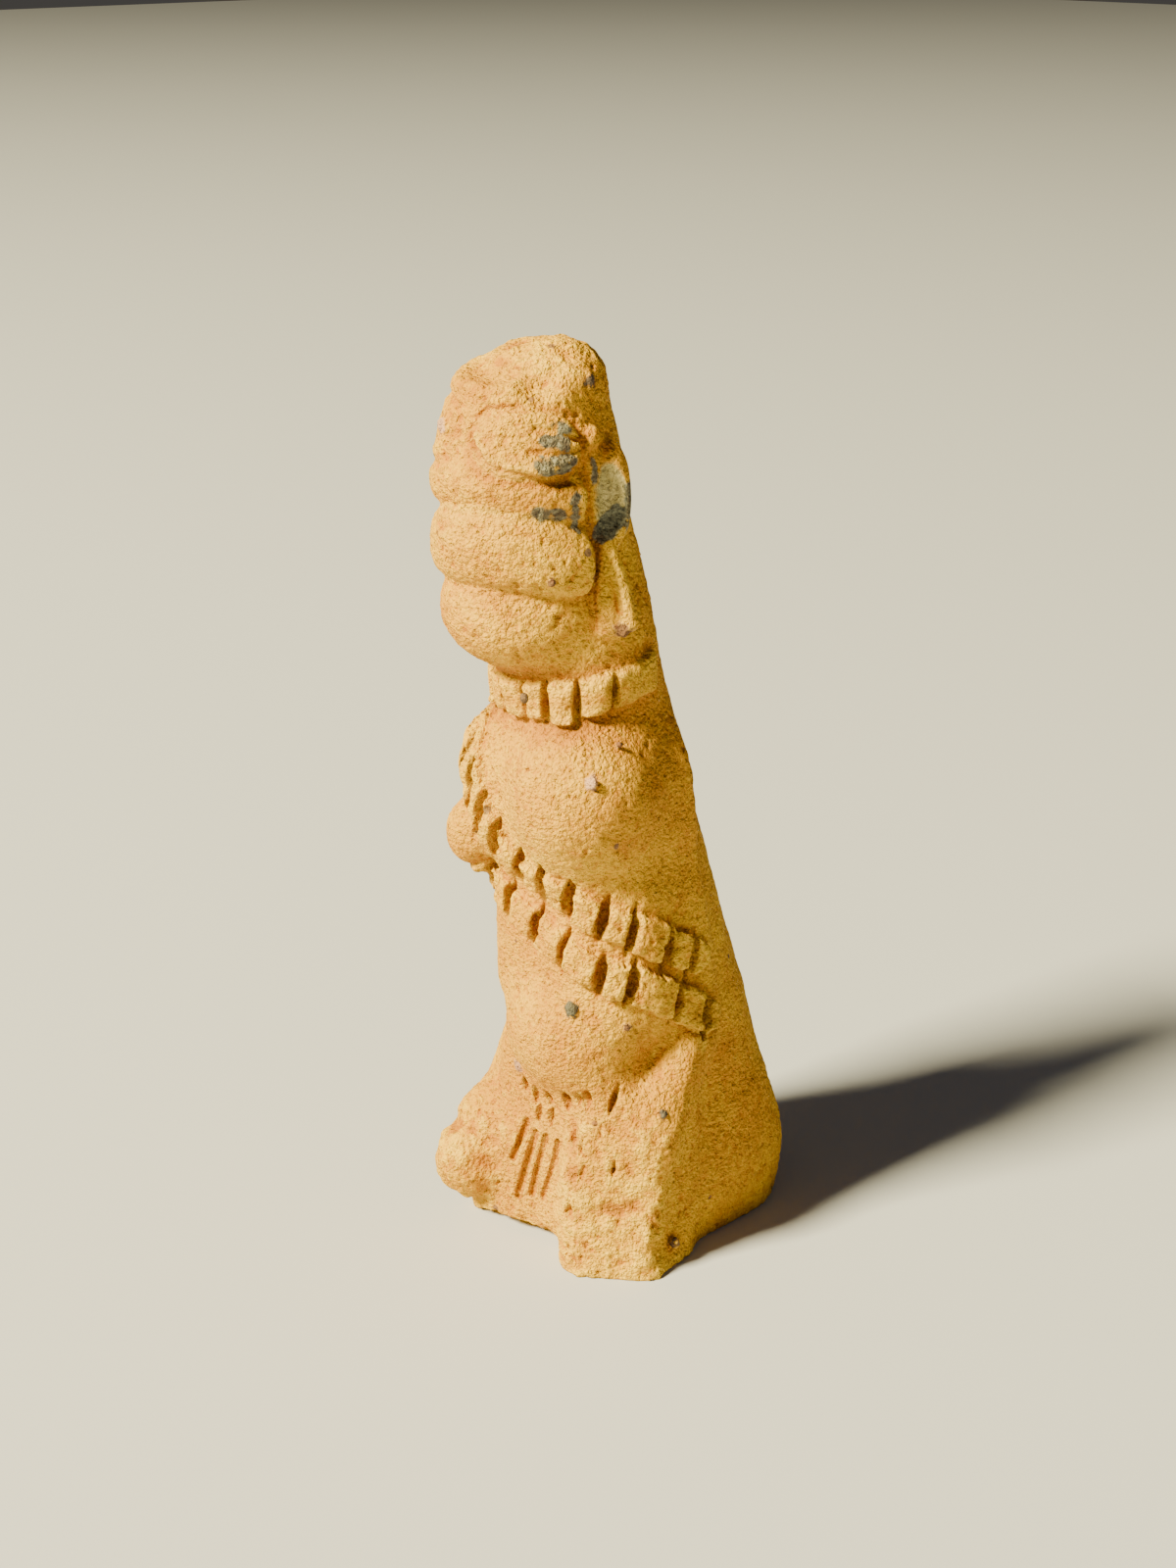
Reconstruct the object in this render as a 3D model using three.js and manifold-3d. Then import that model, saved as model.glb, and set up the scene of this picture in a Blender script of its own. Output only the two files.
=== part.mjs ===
// Terracotta idol: one solid piece of fired clay, standing on its own base.
// It has a stacked face under a broken cap, a collar, two notched sashes, a fringe and worn feet.
// Sizes are millimetres. X is the figure's left, -Y its front, Z up.
// Places are measured from a point on the ground under the body, and the last section centres the base.
import * as THREE from 'three';
import { mergeVertices } from 'three/addons/utils/BufferGeometryUtils.js';
import Module from 'manifold-3d';

// Driving dimensions
const CLAY_COLOUR = 0xc8935a;
const GRID_AROUND = 44;
const CROWN_ROWS = 6;
const HEAD_ROWS = 23;
const TRUNK_ROWS = 25;
const GRID_UP = CROWN_ROWS + HEAD_ROWS + TRUNK_ROWS + 1;
const CROWN_BASE = 232;
const SHOULDER_HEIGHT = 155;
const FOOT_HEIGHT = -4;
const GROUND_CUT = { breadth: 200, depth: 20 };

// The plain back is a chain of round sections: distance back, height, radius
const BACK = [[-25, 236, 14.5], [-14.5, 190, 17.6], [-9, 165, 17.3], [-4, 140, 20], [0.5, 119, 21.3], [8, 90, 23],
  [16, 62, 24.5], [21.1, 40, 25.6]];
const BACK_WIDEN = 0.87;
const REAR = { centre: [0.5, 21, 4], half: [27, 33, 34], edge: 24 };
const REAR_BULGE = { centre: [1, 19, 16], radii: [30, 37.8, 27] };

const CHEST = { centre: [0, -2, 133], half: [29, 33, 25], edge: 19 };
const WAIST = { centre: [1, 2, 92], half: [28, 29, 34], edge: 19 };
const BELLY = { centre: [3, -14, 66], radii: [21, 18.5, 20] };
const TORSO_REAR = { at: 14.5, height: 60, lean: 0.13 };
const NEAR_BREAST = { centre: [13.5, -21, 138], radii: [19.5, 20.5, 21] };
const FAR_BREAST = { centre: [-21.5, -29, 118.5], radii: [7, 7.5, 9] };

const LAP = { centre: [0, -3, 30], half: [24, 21, 32], edge: 10 };
const NEAR_LEG = { centre: [19.5, -11, 20], half: [14.5, 20, 32], edge: 12, yaw: 12 };
const NEAR_BREAK = { point: [22, -27, 0], normal: [0.62, -0.78, 0.12] };
const NEAR_SLOPE = { point: [11, -28, 33], normal: [-0.6, -0.5, 0.62] };
const LEG_VALLEY = { from: [39.5, 10, 76], to: [38, -8, 8], radii: [5.5, 6.5] };
const NEAR_THIGH = { from: [26, 4, 62], to: [25, -8, 40], radii: [8, 9] };
const FAR_LEG = { centre: [-19, -9, 14], half: [14, 18, 22], edge: 9 };
const FAR_THIGH = { from: [-24, 0, 60], to: [-24, -16, 26], radii: [9, 10] };
const FAR_TOES = { centre: [-26.5, -26, 17.5], radii: [10.5, 12, 12] };
const FAR_KNEE = { centre: [-27, -22, 28.5], radii: [7.5, 8.5, 7.5] };
const FRONT_CHIP = { centre: [-9, -27, -1], radii: [17, 9, 4.5] };

const NECK = { from: [2, -10, 150], to: [2, -17.5, 178], radii: [18, 18.5] };
const NECK_WIDEN = 0.88;
const HEAD_AXIS = -27;
const HEAD_CORE = { from: [0, HEAD_AXIS, 222], to: [0, -26, 190], radii: [20.9, 20.4] };
const CHIN = { centre: [-1, -28, 185.5], radii: [21.3, 21.3, 16.5] };

// The swellings of the face arch over a place a little to the near side of its middle
const ARCH_TURN = 17;
const BROW_ROLL = { ridge: 219, drop: 5, above: 6, below: 6, spread: -1, proud: 3.9, end: 88 };
const LIP_ROLL = { ridge: 204, drop: 8, above: 12, below: 9.8, spread: -4, proud: 4.9, end: 89 };
const ROLL_LEAST = 2;
const ROLL_TAPER = 0.4;
const CAP = { from: [0, -27.5, 225], to: [0, -27.5, 237], radii: [21.2, 18.8] };
const CAP_SCAR = { centre: [21.5, -42, 246], radii: [8, 14, 8.5], yaw: 55 };
const CAP_LEDGE = { centre: [-2.9, -34.2, 251], radii: [9.5, 16, 9], yaw: 47 };
const CAP_BREAK = { height: 244, at: -34, rise: 0.12 };
const CAP_KNOB = { centre: [6, -22.5, 240.5], radii: [10.5, 10, 10.8] };
const EYE_PAD = { height: 230, turn: 47, halfTurn: 38, halfHeight: 7.6, proud: 2.6, far: 1.2 };

// How far one form runs into the next
const BLEND = {
  rear: 14, trunk: 6, trunkRear: 5, belly: 3, legCut: 5, thigh: 8, toes: 4, knee: 2, nearLeg: 4, farLeg: 5,
  chin: 3, roll: 2, rollEnd: 3, capTop: 2.5, capKnob: 4, cap: 3, capScar: 2, torso: 4, breasts: 2, breast: 4,
  neck: 6, valley: 5, chip: 1.5, head: 4, pad: 2, padEdge: 2.5,
};

// The sashes are bands laid over the body; each notch is a distance along its band
const SASH = { width: 10, proud: 2.6, startProud: 0.8, fadeFrom: 8, fadeTo: 36 };
const UPPER_SASH = {
  route: [[-24, -20, 162], [-20, -30, 156], [-17.5, -34.5, 147], [-14.3, -35.3, 136], [-10.5, -35.2, 128],
    [-5.5, -34, 121.5], [1.2, -31.5, 115.5], [8.2, -30.2, 112.8], [15.3, -27.8, 109], [22, -23.5, 104.7],
    [27, -17.5, 101.8], [30, -8.5, 96], [31, 3, 89]],
  notches: [14, 24.5, 35.1, 43.6, 51.6, 61.1, 68.2, 76.3, 86.1, 94.2, 106.4, 117],
};
const LOWER_SASH = {
  route: [[-31, -8, 121], [-26, -20, 113], [-17, -27, 106.5], [-9.8, -27, 102.5], [0.5, -27, 98], [11, -27, 94.5],
    [21.5, -24, 89.5], [27, -17, 86.5], [30, -4, 78.5], [31, 7, 71]],
  notches: [10.5, 20.5, 30.4, 38.2, 49.6, 60.2, 71.6, 80, 96.5, 108.5],
};
const NOTCH = { halfLength: 7, halfWidth: 1.5, depth: 3, lean: 12 };
const COLLAR = {
  axis: -13, radius: 20, front: 163.5, tilt: 0.17, roll: 0.1, rollFrom: 15, width: 10.5, proud: 2.4,
  reach: 104, turns: 14,
};
const COLLAR_NOTCHES = [-92, -72, -52, -33, -12, 13, 31, 51, 72.5];
const COLLAR_NOTCH = { halfLength: 5.2, halfWidth: 1.1, depth: 2.6 };

const EAR = { centre: [20.2, -19.9, 214.5], radii: [5.6, 5.4, 14] };
const EAR_BREAK = { point: [22.2, -22.3, 214], normal: [0.6, -0.8, 0], depth: 20, breadth: 60 };
const EAR_STRAND = { from: [20.8, -22.6, 203], to: [21.8, -20.8, 184], radii: [2.8, 4.8] };
const EAR_SLIT = { centre: [22.6, -28.5, 213], half: [1.2, 4, 5.5], yaw: 47 };
const FINGER_GROOVES = { turn: 72, start: 30, heights: [228.2, 232.8], half: [6, 1.7, 0.9] };

const FRINGE = { y: -24, tops: [[-7.2, 37], [-3, 35.6], [1, 36.1], [5.4, 36.1]], drops: [14, 24, 23, 23] };
const FRINGE_LEAN = 0.26;
const FRINGE_CUT = { halfWidth: 1.1, depth: 1.8, share: 0.54 };
const BELT_PITS = [[-3.7, 44.5], [2.1, 45.7], [9.7, 48.2]];
const BELT_PIT = [1.1, 1.8, 2.4];
const HIP_SLIT = { centre: [22.8, -19.5, 52], half: [1.1, 2.4, 5], yaw: 47 };

// The body's grid starts on a spine inside the clay: heights and how far back it runs
const SPINE = [[0, 12], [60, 4], [120, -8], [175, -17], [CROWN_BASE, -27]];
const FRONT_CROWDING = 0.38;
const REACH = 110;

// Clay forms, each a distance to its surface, negative inside
const vector = (triple) => new THREE.Vector3(...triple);

function smoothMin(a, b, blend) {
  const h = THREE.MathUtils.clamp(0.5 + 0.5 * (b - a) / blend, 0, 1);
  return b + (a - b) * h - blend * h * (1 - h);
}

function smoothMax(a, b, blend) {
  return -smoothMin(-a, -b, blend);
}

function turned(p, centre, yaw = 0) {
  return p.clone().sub(vector(centre)).applyAxisAngle(new THREE.Vector3(0, 0, 1), -THREE.MathUtils.degToRad(yaw));
}

function ellipsoid(p, { centre, radii, yaw }) {
  const { x, y, z } = turned(p, centre, yaw);
  const near = Math.hypot(x / radii[0], y / radii[1], z / radii[2]);
  const slope = Math.hypot(x / radii[0] ** 2, y / radii[1] ** 2, z / radii[2] ** 2) + 1e-9;
  return near * (near - 1) / slope;
}

function roundCone(p, { from, to, radii }) {
  const axis = vector(to).sub(vector(from));
  const offset = p.clone().sub(vector(from));
  const t = THREE.MathUtils.clamp(offset.dot(axis) / axis.lengthSq(), 0, 1);
  return offset.addScaledVector(axis, -t).length() - THREE.MathUtils.lerp(radii[0], radii[1], t);
}

function widenedCone(p, shape, widen) {
  return roundCone(new THREE.Vector3(p.x * widen, p.y, p.z), shape);
}

function roundBlock(p, { centre, half, edge, yaw }) {
  const q = turned(p, centre, yaw);
  const outer = [Math.abs(q.x) - half[0] + edge, Math.abs(q.y) - half[1] + edge, Math.abs(q.z) - half[2] + edge];
  const outside = Math.hypot(...outer.map((v) => Math.max(v, 0)));
  return outside + Math.min(Math.max(...outer), 0) - edge;
}

function pastPlane(p, { point, normal }) {
  return p.clone().sub(vector(point)).dot(vector(normal));
}

function back(p) {
  let d = Infinity;
  for (let i = 1; i < BACK.length; i++) {
    const [fromBack, fromHeight, fromRadius] = BACK[i - 1];
    const [toBack, toHeight, toRadius] = BACK[i];
    const link = { from: [0, fromBack, fromHeight], to: [0, toBack, toHeight], radii: [fromRadius, toRadius] };
    d = Math.min(d, widenedCone(p, link, BACK_WIDEN));
  }
  return smoothMin(d, smoothMin(roundBlock(p, REAR), ellipsoid(p, REAR_BULGE), BLEND.trunk), BLEND.rear);
}

function torso(p) {
  const trunk = smoothMin(roundBlock(p, CHEST), roundBlock(p, WAIST), BLEND.trunk);
  const rear = p.y - TORSO_REAR.at + TORSO_REAR.lean * (p.z - TORSO_REAR.height);
  return smoothMin(smoothMax(trunk, rear, BLEND.trunkRear), ellipsoid(p, BELLY), BLEND.belly);
}

function legs(p) {
  let near = smoothMax(roundBlock(p, NEAR_LEG), pastPlane(p, NEAR_BREAK), BLEND.legCut);
  near = smoothMax(near, pastPlane(p, NEAR_SLOPE), BLEND.legCut);
  near = smoothMin(near, roundCone(p, NEAR_THIGH), BLEND.thigh);
  let far = smoothMin(roundBlock(p, FAR_LEG), roundCone(p, FAR_THIGH), BLEND.thigh);
  far = smoothMin(far, smoothMin(ellipsoid(p, FAR_TOES), ellipsoid(p, FAR_KNEE), BLEND.knee), BLEND.toes);
  return smoothMin(smoothMin(roundBlock(p, LAP), near, BLEND.nearLeg), far, BLEND.farLeg);
}

// How far round the head a point lies from the front, in degrees, the near side positive
function turnOf(p) {
  return THREE.MathUtils.radToDeg(Math.atan2(p.x, HEAD_AXIS - p.y));
}

// A swelling round the face, thickest at its ridge, that ends on both sides
function faceRoll(p, core, { ridge, drop, above, below, spread, proud, end }) {
  const turn = turnOf(p);
  const arch = 1 - Math.cos(THREE.MathUtils.degToRad(turn - ARCH_TURN));
  const up = p.z - ridge + drop * arch;
  const half = Math.max((up > 0 ? above : below) + spread * arch, ROLL_LEAST);
  const ring = (Math.hypot(up / half, Math.max(core, 0) / proud) - 1) * proud;
  return smoothMax(ring, (Math.abs(turn) - end) * ROLL_TAPER, BLEND.rollEnd);
}

function head(p) {
  const core = roundCone(p, HEAD_CORE);
  let d = smoothMin(core, ellipsoid(p, CHIN), BLEND.chin);
  d = smoothMin(d, faceRoll(p, core, BROW_ROLL), BLEND.roll);
  d = smoothMin(d, faceRoll(p, core, LIP_ROLL), BLEND.roll);
  const top = p.z - CAP_BREAK.height - CAP_BREAK.rise * (p.y - CAP_BREAK.at);
  const crown = smoothMax(roundCone(p, CAP), top, BLEND.capTop);
  d = smoothMin(d, smoothMin(crown, ellipsoid(p, CAP_KNOB), BLEND.capKnob), BLEND.cap);
  d = smoothMax(d, -ellipsoid(p, CAP_SCAR), BLEND.capScar);
  return smoothMax(d, -ellipsoid(p, CAP_LEDGE), BLEND.capScar);
}

function body(p) {
  let d = smoothMin(back(p), torso(p), BLEND.torso);
  d = smoothMin(d, smoothMin(ellipsoid(p, NEAR_BREAST), ellipsoid(p, FAR_BREAST), BLEND.breasts), BLEND.breast);
  d = smoothMin(d, legs(p), BLEND.farLeg);
  d = smoothMin(d, widenedCone(p, NECK, NECK_WIDEN), BLEND.neck);
  d = smoothMax(d, -roundCone(p, LEG_VALLEY), BLEND.valley);
  d = smoothMax(d, -ellipsoid(p, FRONT_CHIP), BLEND.chip);
  return smoothMin(d, head(p), BLEND.head);
}

function eyePad(p, bodyDistance) {
  const along = (Math.abs(turnOf(p)) - EYE_PAD.turn) / EYE_PAD.halfTurn;
  const up = (p.z - EYE_PAD.height) / EYE_PAD.halfHeight;
  const proud = p.x > 0 ? EYE_PAD.proud : EYE_PAD.far;
  return smoothMax(bodyDistance - proud, (Math.hypot(along, up) - 1) * EYE_PAD.halfHeight, BLEND.padEdge);
}

function clay(p) {
  const d = body(p);
  return smoothMin(d, eyePad(p, d), BLEND.pad);
}

// Points on the clay
function reachFrom(origin, direction) {
  let t = REACH;
  for (let i = 0; i < 300; i++) {
    const d = clay(origin.clone().addScaledVector(direction, t));
    if (d < 0.01) break;
    t -= Math.max(0.6 * d, 0.01);
  }
  return origin.clone().addScaledVector(direction, t);
}

function slope(p) {
  const step = 0.05;
  const along = (axis) => clay(p.clone().add(axis)) - clay(p.clone().sub(axis));
  const x = along(new THREE.Vector3(step, 0, 0));
  const y = along(new THREE.Vector3(0, step, 0));
  const z = along(new THREE.Vector3(0, 0, step));
  return new THREE.Vector3(x, y, z).normalize();
}

function settle(p, depth) {
  const q = p.clone();
  for (let i = 0; i < 12; i++) q.addScaledVector(slope(q), -0.7 * (clay(q) + depth));
  return q;
}

// The body is a sphere's grid drawn out along the spine until it meets the clay
function spine(height) {
  const h = THREE.MathUtils.clamp(height, 0, CROWN_BASE);
  const next = Math.max(1, SPINE.findIndex(([z]) => z >= h));
  const [z0, y0] = SPINE[next - 1];
  const [z1, y1] = SPINE[next];
  return new THREE.Vector3(0, THREE.MathUtils.mapLinear(h, z0, z1, y0, y1), height);
}

function rowHeight(row) {
  const { mapLinear } = THREE.MathUtils;
  const neckRow = CROWN_ROWS + HEAD_ROWS;
  if (row <= neckRow) return mapLinear(row, CROWN_ROWS, neckRow, CROWN_BASE, SHOULDER_HEIGHT);
  return mapLinear(row, neckRow, GRID_UP - 1, SHOULDER_HEIGHT, FOOT_HEIGHT);
}

function wrappedBody() {
  const grid = new THREE.SphereGeometry(1, GRID_AROUND, GRID_UP);
  const position = grid.getAttribute('position');
  for (let i = 0; i < position.count; i++) {
    const row = Math.floor(i / (GRID_AROUND + 1));
    const turn = (i % (GRID_AROUND + 1)) % GRID_AROUND / GRID_AROUND * 2 * Math.PI;
    const azimuth = turn - FRONT_CROWDING * Math.sin(turn);
    const level = new THREE.Vector3(Math.sin(azimuth), -Math.cos(azimuth), 0);
    let place;
    if (row === GRID_UP) {
      place = spine(FOOT_HEIGHT);
    } else if (row <= CROWN_ROWS) {
      const lift = (1 - row / CROWN_ROWS) * Math.PI / 2;
      const direction = level.multiplyScalar(Math.cos(lift)).setZ(Math.sin(lift));
      place = reachFrom(spine(CROWN_BASE), direction);
    } else {
      place = reachFrom(spine(rowHeight(row)), level);
    }
    position.setXYZ(i, place.x, place.y, place.z);
  }
  return grid;
}

// Solids
const wasm = await Module();
wasm.setup();

function solid(geometry, matrix = new THREE.Matrix4()) {
  let plain = geometry.clone().applyMatrix4(matrix);
  for (const name of Object.keys(plain.attributes)) {
    if (name !== 'position') plain.deleteAttribute(name);
  }
  plain = mergeVertices(plain, 1e-4);
  return new wasm.Manifold(new wasm.Mesh({
    numProp: 3,
    vertProperties: new Float32Array(plain.getAttribute('position').array),
    triVerts: new Uint32Array(plain.index.array),
  }));
}

function placed(centre, half, { yaw = 0, lean = 0 } = {}) {
  const turned = new THREE.Euler(0, THREE.MathUtils.degToRad(lean), THREE.MathUtils.degToRad(yaw), 'ZYX');
  return new THREE.Matrix4().compose(centre, new THREE.Quaternion().setFromEuler(turned), vector(half));
}

// A narrow pointed cut: half sizes are across, into the clay and up
function cut(centre, half, turned) {
  return solid(new THREE.SphereGeometry(1, 6, 4), placed(centre, half, turned));
}

// The way a surface faces, as the yaw of its normal from the front
function facing(p) {
  const normal = slope(p);
  return THREE.MathUtils.radToDeg(Math.atan2(normal.x, -normal.y));
}

// A round bar sunk into the clay so that a strip of that width stands proud; prouds has one height for each point
function roll(route, width, prouds, steps) {
  const proud = Math.max(...prouds);
  const radius = (width / 2) ** 2 / (2 * proud) + proud / 2;
  const size = Math.min(radius, width * 0.55);
  const path = route.map((p, i) => settle(p, size - prouds[i]));
  const section = new THREE.Shape().absarc(0, 0, size, 0, 2 * Math.PI);
  const options = { steps, curveSegments: 4, bevelEnabled: false, extrudePath: new THREE.CatmullRomCurve3(path) };
  return solid(new THREE.ExtrudeGeometry(section, options));
}

function sash({ route, notches }) {
  const points = route.map(vector);
  const line = new THREE.CatmullRomCurve3(points);
  const length = line.getLength();
  let along = 0;
  const prouds = points.map((p, i) => {
    if (i > 0) along += p.distanceTo(points[i - 1]);
    const share = THREE.MathUtils.smoothstep(along, SASH.fadeFrom, SASH.fadeTo);
    return THREE.MathUtils.lerp(SASH.startProud, SASH.proud, share);
  });
  const band = roll(points, SASH.width, prouds, 26);
  const half = [NOTCH.halfWidth, NOTCH.depth, NOTCH.halfLength];
  const cuts = notches.map((distance) => {
    const centre = settle(line.getPointAt(distance / length), -SASH.proud);
    return cut(centre, half, { yaw: facing(centre), lean: NOTCH.lean });
  });
  return { band, cuts };
}

function collar() {
  const around = (degrees) => {
    const turn = THREE.MathUtils.degToRad(degrees);
    const out = new THREE.Vector3(Math.sin(turn), -Math.cos(turn), 0).multiplyScalar(COLLAR.radius);
    const rise = COLLAR.tilt * (out.y + COLLAR.radius) + COLLAR.roll * (out.x - COLLAR.rollFrom);
    return new THREE.Vector3(out.x, COLLAR.axis + out.y, COLLAR.front + rise);
  };
  const route = [];
  for (let i = 0; i <= COLLAR.turns; i++) {
    route.push(around(THREE.MathUtils.mapLinear(i, 0, COLLAR.turns, -COLLAR.reach, COLLAR.reach)));
  }
  const band = roll(route, COLLAR.width, route.map(() => COLLAR.proud), 24);
  const half = [COLLAR_NOTCH.halfWidth, COLLAR_NOTCH.depth, COLLAR_NOTCH.halfLength];
  const cuts = COLLAR_NOTCHES.map((degrees) => {
    const centre = settle(around(degrees), -COLLAR.proud);
    return cut(centre, half, { yaw: facing(centre) });
  });
  return { band, cuts };
}

function mirrored([x, y, z]) {
  return [-x, y, z];
}

function ear(near) {
  const side = near ? (triple) => triple : mirrored;
  const flange = solid(new THREE.SphereGeometry(1, 12, 8), placed(vector(side(EAR.centre)), EAR.radii));
  const top = vector(side(EAR_STRAND.from));
  const tip = vector(side(EAR_STRAND.to));
  const profile = [new THREE.Vector2(0, -EAR_STRAND.radii[1])];
  for (let i = 1; i < 4; i++) {
    const turn = i / 4 * Math.PI / 2;
    profile.push(new THREE.Vector2(Math.sin(turn), -Math.cos(turn)).multiplyScalar(EAR_STRAND.radii[1]));
  }
  profile.push(new THREE.Vector2(EAR_STRAND.radii[1], 0));
  profile.push(new THREE.Vector2(EAR_STRAND.radii[0], tip.distanceTo(top)));
  profile.push(new THREE.Vector2(0, tip.distanceTo(top)));
  const hang = new THREE.Quaternion().setFromUnitVectors(new THREE.Vector3(0, 1, 0), top.clone().sub(tip).normalize());
  const strand = new THREE.Matrix4().compose(tip, hang, new THREE.Vector3(1, 1, 1));
  return { flange, strand: solid(new THREE.LatheGeometry(profile, 8), strand) };
}

function broken(flange) {
  const { depth, breadth } = EAR_BREAK;
  const normal = vector(EAR_BREAK.normal).normalize();
  const turn = new THREE.Quaternion().setFromUnitVectors(new THREE.Vector3(0, -1, 0), normal);
  const centre = vector(EAR_BREAK.point).addScaledVector(normal, depth / 2);
  const box = new THREE.Matrix4().compose(centre, turn, new THREE.Vector3(breadth, depth, breadth));
  return flange.subtract(solid(new THREE.BoxGeometry(1, 1, 1), box));
}

function fingerGrooves() {
  const cuts = [];
  for (const side of [1, -1]) {
    for (const height of FINGER_GROOVES.heights) {
      const turn = THREE.MathUtils.degToRad(FINGER_GROOVES.turn * side);
      const out = new THREE.Vector3(Math.sin(turn), -Math.cos(turn), 0).multiplyScalar(FINGER_GROOVES.start);
      const centre = settle(out.add(new THREE.Vector3(0, HEAD_AXIS, height)), 0);
      cuts.push(cut(centre, FINGER_GROOVES.half, { yaw: facing(centre) }));
    }
  }
  return cuts;
}

function fringe() {
  const cuts = FRINGE.tops.map(([x, z], i) => {
    const drop = FRINGE.drops[i];
    const middle = settle(new THREE.Vector3(x - FRINGE_LEAN * drop / 2, FRINGE.y, z - drop / 2), 0);
    const half = [FRINGE_CUT.halfWidth, FRINGE_CUT.depth, drop * FRINGE_CUT.share];
    return cut(middle, half, { lean: THREE.MathUtils.radToDeg(Math.atan(FRINGE_LEAN)) });
  });
  const pits = BELT_PITS.map(([x, z]) => cut(settle(new THREE.Vector3(x, FRINGE.y, z), 0), BELT_PIT));
  return [...cuts, ...pits];
}

function figure() {
  const upper = sash(UPPER_SASH);
  const lower = sash(LOWER_SASH);
  const neckband = collar();
  const nearEar = ear(true);
  const farEar = ear(false);
  const added = [upper.band, lower.band, neckband.band, broken(nearEar.flange), nearEar.strand,
    farEar.flange, farEar.strand];
  const single = [EAR_SLIT, HIP_SLIT].map(({ centre, half, yaw }) => cut(vector(centre), half, { yaw }));
  const removed = [...upper.cuts, ...lower.cuts, ...neckband.cuts, ...fingerGrooves(), ...fringe(), ...single];
  const ground = new THREE.Matrix4().makeTranslation(0, 0, -GROUND_CUT.depth / 2);
  removed.push(solid(new THREE.BoxGeometry(GROUND_CUT.breadth, GROUND_CUT.breadth, GROUND_CUT.depth), ground));
  let clayBody = solid(wrappedBody());
  for (const piece of added) clayBody = clayBody.add(piece);
  for (const piece of removed) clayBody = clayBody.subtract(piece);
  return clayBody;
}

// The model, its base centred on the origin
const mesh = figure().getMesh();
const geometry = new THREE.BufferGeometry();
geometry.setAttribute('position', new THREE.BufferAttribute(mesh.vertProperties, 3));
geometry.setIndex(new THREE.BufferAttribute(mesh.triVerts, 1));
geometry.computeBoundingBox();
const middle = geometry.boundingBox.getCenter(new THREE.Vector3());
geometry.translate(-middle.x, -middle.y, 0);
geometry.computeVertexNormals();

const terracotta = new THREE.MeshStandardMaterial({ color: CLAY_COLOUR, roughness: 0.95, metalness: 0 });
const idol = new THREE.Mesh(geometry, terracotta);
idol.name = 'figure';

const group = new THREE.Group();
group.add(idol);
export default group;
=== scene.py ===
"""Terracotta figure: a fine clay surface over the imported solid, seen from its front left."""
import math
import bpy
import numpy as np
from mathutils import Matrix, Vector


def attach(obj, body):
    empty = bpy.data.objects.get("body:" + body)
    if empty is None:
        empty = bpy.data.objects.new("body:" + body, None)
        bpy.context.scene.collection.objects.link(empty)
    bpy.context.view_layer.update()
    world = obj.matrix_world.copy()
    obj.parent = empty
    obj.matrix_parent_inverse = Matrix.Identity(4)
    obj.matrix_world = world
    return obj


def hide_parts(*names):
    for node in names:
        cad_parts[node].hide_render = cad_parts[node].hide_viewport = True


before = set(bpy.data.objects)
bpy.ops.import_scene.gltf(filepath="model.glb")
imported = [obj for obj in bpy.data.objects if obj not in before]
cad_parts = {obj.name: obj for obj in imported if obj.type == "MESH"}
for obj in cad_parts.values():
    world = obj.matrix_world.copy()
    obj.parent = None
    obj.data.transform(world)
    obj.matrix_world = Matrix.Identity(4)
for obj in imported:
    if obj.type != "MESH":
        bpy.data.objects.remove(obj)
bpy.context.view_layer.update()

# Sizes are millimetres in the clay's own frame: X the figure's left, -Y its front, Z up.
# ORIGIN is the middle of the figure's box there, on the floor, which is the frame's origin.
MM = 0.001
ORIGIN = np.array([-0.723, 2.596, 0.0])
CELL = 0.62
SAMPLE_LOW = (-40.0, -56.0, -3.0)
SAMPLE_HIGH = (40.0, 60.0, 255.0)
TRIANGLE_LIMIT = 190000

# The plain back is a chain of round sections: distance back, height, radius
BACK = [(-25, 236, 14.5), (-14.5, 190, 17.6), (-9, 165, 17.3), (-4, 140, 20), (0.5, 119, 21.3), (8, 90, 23),
        (16, 62, 24.5), (21.1, 40, 25.6)]
BACK_WIDEN = 0.87
REAR = dict(centre=(0.5, 21, 4), half=(27, 33, 34), edge=24)
REAR_BULGE = dict(centre=(1, 19, 16), radii=(30, 37.8, 27))

CHEST = dict(centre=(0, -2, 133), half=(29, 33, 25), edge=19)
WAIST = dict(centre=(1, 2, 92), half=(28, 29, 34), edge=19)
BELLY = dict(centre=(3, -14, 66), radii=(21, 18.5, 20))
TORSO_REAR = dict(at=14.5, height=60, lean=0.13)
NEAR_BREAST = dict(centre=(13.5, -21, 138), radii=(19.5, 20.5, 21))
FAR_BREAST = dict(centre=(-21.5, -29, 118.5), radii=(7, 7.5, 9))

LAP = dict(centre=(0, -3, 30), half=(24, 21, 32), edge=10)
NEAR_LEG = dict(centre=(19.5, -11, 20), half=(14.5, 20, 32), edge=12, yaw=12)
NEAR_BREAK = dict(point=(22, -27, 0), normal=(0.62, -0.78, 0.12))
NEAR_SLOPE = dict(point=(11, -28, 33), normal=(-0.6, -0.5, 0.62))
LEG_VALLEY = dict(start=(39.5, 10, 76), end=(38, -8, 8), radii=(5.5, 6.5))
NEAR_THIGH = dict(start=(26, 4, 62), end=(25, -8, 40), radii=(8, 9))
FAR_LEG = dict(centre=(-19, -9, 14), half=(14, 18, 22), edge=9)
FAR_THIGH = dict(start=(-24, 0, 60), end=(-24, -16, 26), radii=(9, 10))
FAR_TOES = dict(centre=(-26.5, -26, 17.5), radii=(10.5, 12, 12))
FAR_KNEE = dict(centre=(-27, -22, 28.5), radii=(7.5, 8.5, 7.5))
FRONT_CHIP = dict(centre=(-9, -27, -1), radii=(17, 9, 4.5))

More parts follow.
